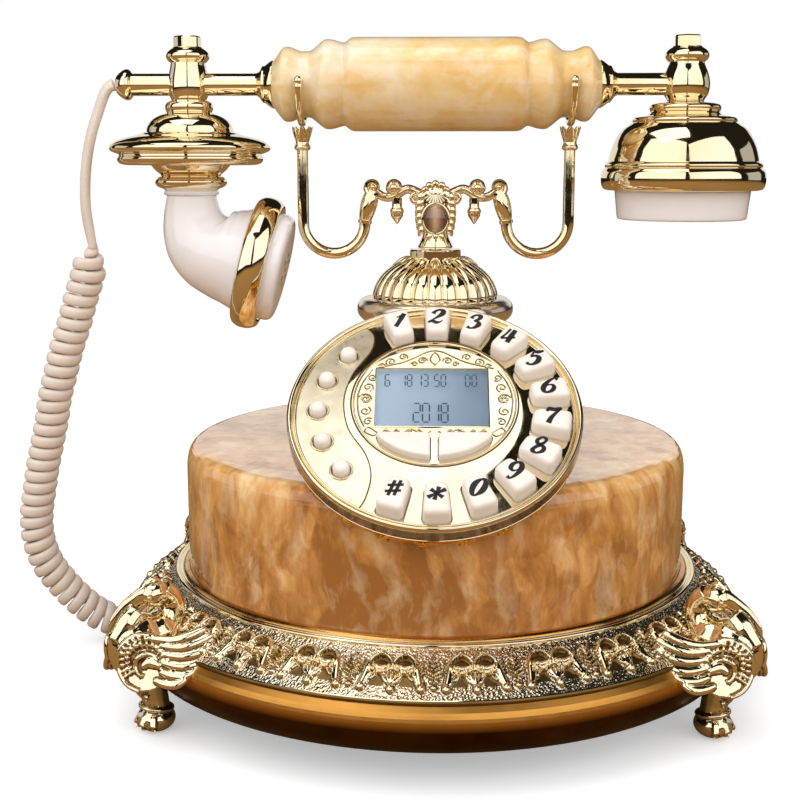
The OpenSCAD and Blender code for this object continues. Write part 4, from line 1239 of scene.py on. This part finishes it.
PRESS = Vector(next(j["axis"] for j in frame["joints"] if j["name"] == "key_1_press"))
TILT = math.degrees(math.asin(PRESS.y))
face_low, face_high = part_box("dial_face")
PLATE_T = 2.5
FACE_CENTRE = (face_low + face_high) / 2 / MM - Vector(PRESS) * PLATE_T / 2
ON_DIAL = at(*FACE_CENTRE) @ turn(TILT, "X")
KEY_RING_R = 39.7
KEY_STEP, KEY_FIRST = 19.73, -18.5
BUTTON_STEP, BUTTON_FIRST = 20, -50
PLATE_R, RIM_R = 47.4, 47.2
CUT_DEPTH = 1.6
SATIN_LIFT = 0.12
SCROLL_EYE_R = 0.35
LEAVES = 44  # round the housing
FILL_GAP, FILL_STEP = 1.5, 1.6  # between and along the rings of points that fill the plate
FILL_CLEAR = 0.5  # from an edge
MOON_R = 26
MOON_LEFT, MOON_TOP, MOON_RIGHT = 1.4, -11.5, 19.2
KEY_GAP, MOON_GAP = 0.4, 0.35  # round a key in its opening
BUTTON_HOLE_R, SATIN_HOLE_R = 3.4, 4.0
ENGRAVED_R, BRIGHT_R = 28.6, 27.7
LCD_W, LCD_H, LCD_U, LCD_V = 38.9, 26.6, -1, 6
RING_CENTRE = (0, 4.3)
CONE_START = 30.6
CONE_FALL = math.tan(math.radians(4.5))
S_LINE = [(-25.2, 41.4), (-21.8, 36), (-22.6, 28), (-28.4, 17), (-31, 5), (-29, -8), (-22.8, -19),
          (-20.6, -28), (-22.2, -37), (-24.8, -41.6)]


def clock(angle):
    a = math.radians(angle)
    return np.array((KEY_RING_R * math.sin(a), KEY_RING_R * math.cos(a)))


def at_clock(angle):
    return turn(-angle, "Z") @ at(0, KEY_RING_R, 0)


def key_outline(grow=0.0):
    half, wide, slim = 6.6 + grow, 4.8 + grow, (3.6 + grow) * 1.03
    return round_corners([(-wide, half), (-slim, -half), (slim, -half), (wide, half)], 2.4, 7)


def moon_outline(grow=0.0):
    """Half-moon to the right of the middle: flat top, straight side, round below."""
    radius = MOON_R + grow
    left, top, right = MOON_LEFT - grow, MOON_TOP + grow, MOON_RIGHT + grow
    low_a = math.acos(min(1, left / radius))
    low_b = math.asin((top - RING_CENTRE[1]) / radius)
    arc = [polar(radius, a) for a in np.linspace(-low_a, low_b, 14)]
    arc = [(min(x, right), RING_CENTRE[1] + y) for x, y in arc if x >= left - 1e-6]
    return round_corners([(left, top)] + arc, 1.3, 4)


def placed_2d(outline, matrix):
    p = np.column_stack([outline, np.zeros(len(outline))])
    return moved((p, []), matrix)[0][:, :2]


def plate_height(x, y):
    r = np.hypot(x, y)
    return -np.clip(r - CONE_START, 0, None) * CONE_FALL


def circle(radius, count, centre=(0, 0)):
    a = round_steps(count)
    return np.stack([centre[0] + radius * np.cos(a), centre[1] + radius * np.sin(a)], 1)


def display_outline():
    w, h = LCD_W / 2, LCD_H / 2
    return np.array([(-w, -h), (w, -h), (w, h), (-w, h)])


def button_wells(outline):
    return [placed_2d(outline, at_clock(BUTTON_FIRST - BUTTON_STEP * i)) for i in range(5)]


def openings():
    holes = [placed_2d(key_outline(KEY_GAP), at_clock(KEY_FIRST + KEY_STEP * i)) for i in range(12)]
    holes += button_wells(circle(BUTTON_HOLE_R, 24))
    moon = moon_outline(MOON_GAP)
    holes += [moon, moon * (-1, 1)]
    holes.append(display_outline() + (LCD_U, LCD_V))
    return holes


def inside(points, polygon):
    x, y = points[:, 0], points[:, 1]
    hit = np.zeros(len(points), bool)
    for (ax, ay), (bx, by) in zip(polygon, np.roll(polygon, -1, 0)):
        cross = (ay > y) != (by > y)
        with np.errstate(divide="ignore", invalid="ignore"):
            hit ^= cross & (x < (bx - ax) * (y - ay) / (by - ay) + ax)
    return hit


def plate_mesh(holes, outer, keep):
    """A flat plate cut into fine triangles, less its openings. keep says which middles stay."""
    loops = [outer] + holes
    spots = np.vstack(loops)
    edges, start = [], 0
    for loop in loops:
        n = len(loop)
        edges += [(start + k, start + (k + 1) % n) for k in range(n)]
        start += n
    fill = []
    for k, r in enumerate(np.arange(2, np.abs(outer).max() - 0.4, FILL_GAP)):
        count = max(6, int(2 * np.pi * r / FILL_STEP))
        a = round_steps(count) + 0.3 * k
        fill.append(np.stack([r * np.cos(a), r * np.sin(a)], 1))
    fill = np.vstack(fill)
    near = np.min(np.linalg.norm(fill[:, None] - spots[None], axis=2), 1)
    fill = fill[near > FILL_CLEAR]
    made = geometry.delaunay_2d_cdt([Vector(p) for p in np.vstack([spots, fill])], edges, [], 0, 1e-5)
    points = np.array([tuple(v) for v in made[0]])
    faces = [tuple(f) for f in made[2]]
    middles = np.array([points[list(f)].mean(0) for f in faces])
    good = inside(middles, outer) & keep(middles)
    for hole in holes:
        good &= ~inside(middles, hole)
    return points, [f for f, g in zip(faces, good) if g]


def make_plate():
    holes = openings()
    points, faces = plate_mesh(holes, circle(PLATE_R, 180), lambda m: np.ones(len(m), bool))
    top = np.column_stack([points, plate_height(points[:, 0], points[:, 1])])
    parts = [(top, faces)]
    for hole in holes:
        n = len(hole)
        z = plate_height(hole[:, 0], hole[:, 1])
        wall = np.vstack([np.column_stack([hole, z]), np.column_stack([hole, z - CUT_DEPTH])])
        parts.append((wall, grid_faces(2, n)))
    build("dial_plate", moved(joined(*parts), ON_DIAL), "base", "gold", 50, ("dial_face",))

    crescent = curve(S_LINE, 8)
    rim_from = math.atan2(crescent[-1, 1], crescent[-1, 0])
    rim_to = math.atan2(crescent[0, 1], crescent[0, 0]) - 2 * math.pi
    rim = [polar(RIM_R, a) for a in np.linspace(rim_from, rim_to, 50)]
    outer = np.vstack([crescent, rim])
    points, faces = plate_mesh(button_wells(circle(SATIN_HOLE_R, 28)), outer, lambda m: m[:, 0] < 0)
    top = np.column_stack([points, plate_height(points[:, 0], points[:, 1]) + SATIN_LIFT])
    build("dial_satin_crescent", moved((top, faces), ON_DIAL), "base", "satin", 50)


def wire(path, radius, lift=0.1, flat=0.6):
    """A fine raised line on the dial plate, along a path of (x, y) points."""
    p = np.array(path, float)
    z = plate_height(p[:, 0], p[:, 1]) + lift
    return sweep(np.column_stack([p, z]), [radius], [radius * flat], 8, (0, 0, 1))


def scroll(cx, cy, start_r, turns, start, way):
    t = np.linspace(0, 1, int(18 * turns) + 4)
    a = math.radians(start) + way * 2 * np.pi * turns * t
    r = start_r + (SCROLL_EYE_R - start_r) * t
    return np.stack([cx + r * np.cos(a), cy + r * np.sin(a)], 1)


def make_engraving():
    """Cartouche ring, scrolls round the display and the long line that bounds the satin part."""
    ring, inner = (circle(radius, 120, RING_CENTRE) for radius in (ENGRAVED_R, BRIGHT_R))
    ring, inner = np.vstack([ring, ring[:1]]), np.vstack([inner, inner[:1]])
    dark = [wire(ring, 0.3), wire(curve(S_LINE, 8), 0.22, 0.15)]
    bright = [wire(inner, 0.3, 0.15)]
    half = []
    for cx, cy, r, turns, start, way in [
            (23.6, 5.2, 2.5, 1.4, 20, 1), (23.0, 10.6, 2.0, 1.3, 250, -1), (23.6, -0.2, 2.0, 1.3, 120, 1),
            (21.6, 15.2, 1.6, 1.2, 230, 1), (22.4, -5.0, 1.7, 1.2, 130, -1),
            (15.4, 22.6, 1.9, 1.4, 300, 1), (11.2, 25.0, 1.6, 1.3, 200, -1),
            (18.4, 20.6, 1.3, 1.1, 10, 1),
            (4.4, 23.2, 1.7, 1.4, 180, -1), (7.2, 21.6, 1.1, 1.2, 0, 1), (16.6, -9.4, 1.1, 1.2, 90, 1),
            (12.6, -9.4, 1.0, 1.2, 90, -1), (8.8, -9.4, 1.0, 1.2, 90, 1),
            (5.0, -9.4, 1.0, 1.2, 90, -1)]:
        half.append(scroll(cx, cy, r, turns, start, way))
    half += [curve(path, 5) for path in (
        [(21.8, 18.6), (24.6, 13.6), (26.2, 8.2), (26.4, 3.2), (25.6, -2.4), (23.8, -7.2)],
        [(20.4, 19.6), (15.6, 21.0), (11.2, 22.4), (7.2, 24.6), (3.2, 27.2), (0, 28.2)],
        [(16.2, 26.6), (12.4, 28.6), (7.4, 30.2), (3, 30.6), (0, 30.8)],
        [(19.2, -9.8), (22.2, -7.6), (23.4, -9.4), (20.6, -11.2), (19, -10)],
        [(0, 21.2), (1.6, 23.4), (1.2, 25.6), (0, 27.4)],
        [(1.2, -9.2), (4, -10.4), (8, -8.4), (12, -10.4), (17, -8.6)])]
    for path in half:
        for line in (path, path * (-1, 1)):
            dark.append(wire(line, 0.2, 0.1, 0.8))
            bright.append(wire(line + (0.22, 0.2), 0.22, 0.14, 0.9))
    for side in (-1, 1):
        for k in range(6):
            a = k * math.pi / 3
            spot = (side * 23.6 + 1.25 * math.cos(a), 5.2 + 1.25 * math.sin(a), 0.2)
            bright.append(egg(spot, (0.55, 0.55, 0.35), 12))
    build("dial_engraving", moved(joined(*dark), ON_DIAL), "base", "line", 60)
    build("dial_scrollwork", moved(joined(*bright), ON_DIAL), "base", "gold", 60)


def make_bowl():
    """Housing behind the plate: double rim, side wall, leafy underside and its neck to the drum."""
    rim = np.vstack([
        rounded([(46.9, -2.4), (46.9, -1.2), (47.3, -0.5), (47.8, -0.6), (48, -1.1)], 2),
        rounded([(48.1, -1.0), (48.3, -0.1), (49, 0.6), (49.8, 0.5), (50.2, -0.3)], 3),
        [(50.2, -0.9), (49.9, -1.1), (49.9, -5.3), (50.2, -5.5)],
        rounded([(50.2, -5.6), (49.9, -6.3), (48.9, -6.8)], 2)])
    rim[:2, 1] = -2.6  # the inner ring starts behind the plate
    build("dial_housing_rim", moved(uncapped(rim), ON_DIAL), "base", "gold", 40, ("dial_bowl",))
    # the side wall takes the dark gold: a painted dark reflection
    wall = uncapped([(49.95, -1), (50.2, -1.2), (50.2, -5.2), (49.95, -5.4)])
    build("dial_housing_wall", moved(wall, ON_DIAL), "base", "bronze", 40)
    under = uncapped(rounded([(48.9, -6.7), (48.7, -8.6), (47.6, -11.4), (45, -14.6), (40, -17.8),
                              (31, -20.6), (20, -21.9), (12, -22), (8, -22)], 2))
    neck = lathe([(11, -21), (11, -47)], 64)
    build("dial_housing_bowl", moved(joined(under, neck), ON_DIAL), "base", "amber", 40)

    leaves = []
    for k in range(LEAVES):
        a = k * 2 * math.pi / LEAVES
        b = a + 0.08 * (-1) ** k
        path = [polar(48.8, a, -7.6), polar(47.8, b, -11.4), polar(44.4, b, -15.6)]
        leaves.append(leaf(path, 3.4, 1.6, polar(1, a, -1)))
        leaves.append(egg(polar(48.4, b, -9.6), (1.1, 1.1, 1.1), 12))
    build("dial_housing_leaves", moved(joined(*leaves), ON_DIAL), "base", "amber", 60)


make_plate()
make_engraving()
make_bowl()


# ---------- keys ----------

FLANGE_TOP = -2.9
# brush strokes of each symbol: (x, y, width) in hundredths of its size
DIGIT_STROKES = {
    "1": [[(22, 86, 5), (42, 98, 10), (60, 120, 12)],
          [(62, 122, 20), (56, 80, 22), (50, 40, 20), (44, 0, 20)]],
    "2": [[(16, 84, 22), (20, 104, 14), (46, 120, 12), (76, 108, 22), (76, 80, 24), (50, 50, 12),
           (20, 20, 8), (4, 6, 10)],
          [(4, 6, 10), (30, 16, 16), (60, 3, 18), (86, 10, 8), (96, 26, 4)]],
    "3": [[(18, 90, 20), (26, 110, 12), (50, 120, 12), (76, 106, 22), (70, 82, 16), (42, 66, 8)],
          [(42, 66, 8), (72, 56, 16), (82, 30, 24), (62, 6, 16), (34, 0, 10), (10, 14, 20)]],
    "4": [[(50, 120, 12), (30, 80, 10), (4, 40, 12)], [(2, 40, 12), (50, 40, 12), (98, 44, 12)],
          [(84, 110, 20), (68, 60, 24), (54, 0, 22)]],
    "5": [[(34, 114, 10), (24, 68, 10)], [(32, 114, 14), (60, 110, 20), (94, 120, 10)],
          [(22, 66, 8), (50, 76, 14), (78, 60, 22), (78, 28, 24), (54, 3, 14), (26, 2, 12), (8, 18, 18)]],
    "6": [[(86, 106, 18), (64, 120, 10), (34, 94, 16), (14, 50, 24), (20, 14, 20), (46, 0, 12),
           (74, 14, 18), (80, 42, 20), (64, 62, 12), (40, 60, 6), (20, 42, 4)]],
    "7": [[(8, 94, 10), (18, 114, 20), (50, 108, 20), (76, 114, 16), (96, 120, 10)],
          [(94, 118, 10), (66, 76, 14), (48, 40, 20), (40, 0, 24)]],
    "8": [[(50, 62, 14), (26, 80, 18), (26, 104, 16), (52, 120, 10), (76, 106, 16), (74, 84, 12),
           (50, 62, 18), (20, 40, 16), (12, 18, 20), (40, 0, 10), (74, 12, 18), (78, 38, 18),
           (50, 62, 14)]],
    "9": [[(14, 14, 18), (36, 0, 10), (66, 26, 16), (86, 70, 24), (80, 106, 20), (54, 120, 12),
           (26, 106, 18), (20, 78, 20), (36, 58, 12), (60, 60, 6), (80, 78, 4)]],
    "0": [[(50, 120, 10), (22, 90, 24), (14, 50, 24), (24, 10, 18), (46, 0, 10), (76, 30, 24),
           (86, 72, 24), (76, 110, 18), (50, 120, 10)]],
    "star": [[(50, 108, 20), (50, 60, 12), (50, 12, 20)], [(4, 90, 20), (50, 60, 12), (96, 30, 20)],
             [(4, 30, 20), (50, 60, 12), (96, 90, 20)]],
    "hash": [[(36, 116, 14), (32, 60, 14), (28, 4, 14)], [(72, 116, 14), (68, 60, 14), (64, 4, 14)],
             [(2, 80, 13), (50, 82, 13), (98, 84, 13)], [(0, 36, 13), (50, 38, 13), (96, 40, 13)]],
}
KEYS = ["1", "2", "3", "4", "5", "6", "7", "8", "9", "0", "star", "hash"]
KEY_LEVELS = [
    (-1, FLANGE_TOP - 1), (-1, FLANGE_TOP), (0, FLANGE_TOP),
    (0.05, 2.6), (0.2, 3.4), (0.5, 4.1), (1.0, 4.6), (1.7, 4.9), (2.6, 5.0)]
KEY_TOP = 5.0
DIGIT_WIDE, DIGIT_TALL, SLANT = 5.3, 5.4, 0.3
BRUSH = 1.5
INK_THICK = 0.06


def ink(symbol, centre, z):
    strokes = []
    for stroke in DIGIT_STROKES[symbol]:
        x, y, w = np.array(stroke).T / 100
        right = centre[0] + (x - 0.5 + SLANT * (y - 0.6)) * DIGIT_WIDE
        up = centre[1] + (y - 0.6) * DIGIT_TALL
        strokes.append(np.column_stack([right, up, w * DIGIT_WIDE * BRUSH]))
    return moved(ribbon(strokes, INK_THICK), at(0, 0, z))


def make_keys():
    for i, symbol in enumerate(KEYS):
        name = "key_" + symbol
        angle = KEY_FIRST + KEY_STEP * i
        cap = moved(prism(key_outline(), KEY_LEVELS), at_clock(angle))
        build(name + "_cap", moved(cap, ON_DIAL), name, "key", 50, (name,))
        mark = ink(symbol, clock(angle) + (0, 0.7), KEY_TOP)
        build(name + "_mark", moved(mark, ON_DIAL), name, "ink", 60)

    moon = prism(moon_outline(), [
        (-0.6, FLANGE_TOP - 1), (-0.6, FLANGE_TOP), (0, FLANGE_TOP), (0, 1.9), (0.12, 2.4), (0.45, 2.8),
        (1, 3.0)])
    for name in ("key_redial", "key_speaker"):
        low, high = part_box(name)
        shape = moon if low.x + high.x > 0 else flipped(moon)
        build(name + "_cap", moved(shape, ON_DIAL), name, "key", 50, (name,))

    dome = turned([
        (4, FLANGE_TOP - 1), (4, FLANGE_TOP), (2.9, FLANGE_TOP + 0.1), (2.9, 0.6), (2.6, 2.0), (1.6, 2.9),
        (0.3, 3.1)], 2, 48)
    ring = turned([(3.45, -0.8), (3.45, 0.3), (3.75, 0.5), (4.1, 0.3), (4.1, -0.8)], 2, 48, True)
    on_plate = at(0, 0, float(plate_height(KEY_RING_R, 0)))
    for i, name in enumerate(["button_up", "button_down", "button_delete", "button_out", "button_set"]):
        place = ON_DIAL @ at_clock(BUTTON_FIRST - BUTTON_STEP * i)
        build(name + "_dome", moved(dome, place), name, "key", 50, (name,))
        build(name + "_well", moved(ring, place @ on_plate), "base", "gold", 50)


make_keys()


# ---------- display ----------

SEGMENTS = {
    "0": "abcdef", "1": "bc", "2": "abged", "3": "abgcd", "4": "fgbc", "5": "afgcd", "6": "afgedc",
    "7": "abc", "8": "abcdefg", "9": "abcdfg"}
SEGMENT_ENDS = {
    "a": ((0.12, 1), (0.88, 1)), "g": ((0.12, 0.5), (0.88, 0.5)), "d": ((0.12, 0), (0.88, 0)),
    "f": ((0, 0.94), (0, 0.56)), "b": ((1, 0.94), (1, 0.56)),
    "e": ((0, 0.44), (0, 0.06)), "c": ((1, 0.44), (1, 0.06))}
DISPLAY_Z = -0.36


def seven_segments(text, left, low, wide, tall, step, thick):
    bars = []
    for place, digit in enumerate(text):
        x = left + place * step
        for name in SEGMENTS[digit]:
            bars.append([(x + right * wide, low + up * tall, thick) for right, up in SEGMENT_ENDS[name]])
    return ribbon(bars, 0.03)


def make_display():
    groups = [("6", -16.2), ("18", -10.8), ("13", -5.2), ("50", 0.9), ("00", 11.6)]
    clocks = [seven_segments(text, left, 11.5, 1.6, 5.4, 2.3, 0.4) for text, left in groups]
    year = seven_segments("2018", -6.2, -4.8, 2.3, 8.4, 3.15, 0.5)
    build("display_digits", moved(joined(*clocks, year), ON_DIAL @ at(LCD_U, 0, DISPLAY_Z)), "base",
          "segment", 60)
    points, faces = prism(round_corners(display_outline() * 1.012, 0.5, 3), [
        (0, -0.5), (0, 0.35), (0.35, 0.4), (0.55, 0.1), (0.55, -0.5)])
    build("display_bezel", moved((points, faces[:-2]), ON_DIAL @ at(LCD_U, LCD_V, 0)), "base", "gold", 40)


make_display()


# ---------- studio ----------

FLOOR_RINGS = (0.001, 400, 1200, 2600)
FLOOR_DOWN = 0.0002  # metres below the feet
FLOOR_FADES = (0.35, 1.2)  # metres from the middle
REFLECTED_FLOOR = (0.27, 0.155, 0.06)  # what polished parts see in place of the pale floor
ROOM, ROOM_STRENGTH = (0.8, 0.68, 0.45), 0.018
FILL, FILL_STRENGTH = (1, 0.985, 0.985), 0.66
MIDDLE = (0, 0, 0.12)
# name, place, target, size and radiance of each softbox
SOFTBOXES = [
    ("overhead", (-0.26, -0.27, 1.15), (-0.26, -0.27, 0), (0.78, 0.7), 1.5),
    ("tent_left", (-0.86, -1.0, 1.1), (0, 0, 1.04), (2.05, 1.8), 1.2),
    ("tent_right", (0.83, -1.0, 0.95), (0, 0, 0.89), (2.0, 1.5), 1.15),
    ("side_left", (-1.45, 0.4, 0.4), MIDDLE, (0.8, 0.7), 0.6),
    ("side_right", (1.45, 0.42, 0.42), MIDDLE, (0.9, 0.6), 0.45),
    ("back", (0.0, 1.5, 0.42), MIDDLE, (2.2, 0.5), 0.8)]


def light(name, place, target, size, radiance):
    """A rectangular softbox of the given brightness."""
    data = bpy.data.lights.new(name, "AREA")
    data.shape = "RECTANGLE"
    data.size, data.size_y = size
    data.energy = radiance * math.pi * size[0] * size[1]
    lamp = bpy.data.objects.new(name, data)
    lamp.location = place
    lamp.rotation_euler = (Vector(target) - Vector(place)).to_track_quat("-Z", "Y").to_euler()
    bpy.context.scene.collection.objects.link(lamp)


def make_floor():
    """Pale round floor that fades into the backdrop at its edge."""
    mesh = bpy.data.meshes.new("floor")
    points, faces = lathe([(r, 0) for r in FLOOR_RINGS], 96)
    mesh.from_pydata((points * MM - (0, 0, FLOOR_DOWN)).tolist(), [], faces[:-1])
    floor = bpy.data.objects.new("floor", mesh)
    bpy.context.scene.collection.objects.link(floor)
    m = Nodes("floor_pale")
    m.colour(m.mix(m.map(m.noise(5, 3), 0, 1), (0.9, 0.9, 0.9), (0.86, 0.86, 0.86)))
    m.rough(m.map(m.noise(9, 2), 0.6, 0.7))
    distance = m.add("ShaderNodeVectorMath", {0: m.where}, operation="LENGTH").outputs["Value"]
    m.link(m.map(distance, 1, 0, *FLOOR_FADES), m.shader.inputs["Alpha"])
    m.set(Emission_Strength=0.35, Emission_Color=(1, 1, 1, 1))
    tan = m.add("ShaderNodeBsdfDiffuse", {"Color": (*REFLECTED_FLOOR, 1)}).outputs[0]
    seen = m.add("ShaderNodeLightPath").outputs["Is Camera Ray"]
    chooser = m.add("ShaderNodeMixShader", {0: seen, 1: tan, 2: m.shader.outputs[0]})
    m.link(chooser.outputs[0], m.tree.nodes["Material Output"].inputs["Surface"])
    mesh.materials.append(m.material)


def make_world():
    """White surroundings for the camera, a soft fill for matt surfaces and a dim room for reflections."""
    world = bpy.data.worlds.new("studio")
    bpy.context.scene.world = world
    world.use_nodes = True
    tree = world.node_tree
    tree.nodes.clear()
    out = tree.nodes.new("ShaderNodeOutputWorld")
    ray = tree.nodes.new("ShaderNodeLightPath")

    def background(colour, strength):
        node = tree.nodes.new("ShaderNodeBackground")
        node.inputs["Color"].default_value = (*colour, 1)
        node.inputs["Strength"].default_value = strength
        return node

    def chosen(ray_kind, otherwise, then):
        node = tree.nodes.new("ShaderNodeMixShader")
        for socket, source in enumerate((ray.outputs[ray_kind], otherwise.outputs[0], then.outputs[0])):
            tree.links.new(source, node.inputs[socket])
        return node

    lit = chosen("Is Diffuse Ray", background(ROOM, ROOM_STRENGTH), background(FILL, FILL_STRENGTH))
    seen = chosen("Is Camera Ray", lit, background((1, 1, 1), 1.0))
    tree.links.new(seen.outputs[0], out.inputs["Surface"])


def make_studio():
    make_floor()
    make_world()
    for softbox in SOFTBOXES:
        light(*softbox)
    bpy.context.scene.view_settings.view_transform = "Standard"


make_studio()
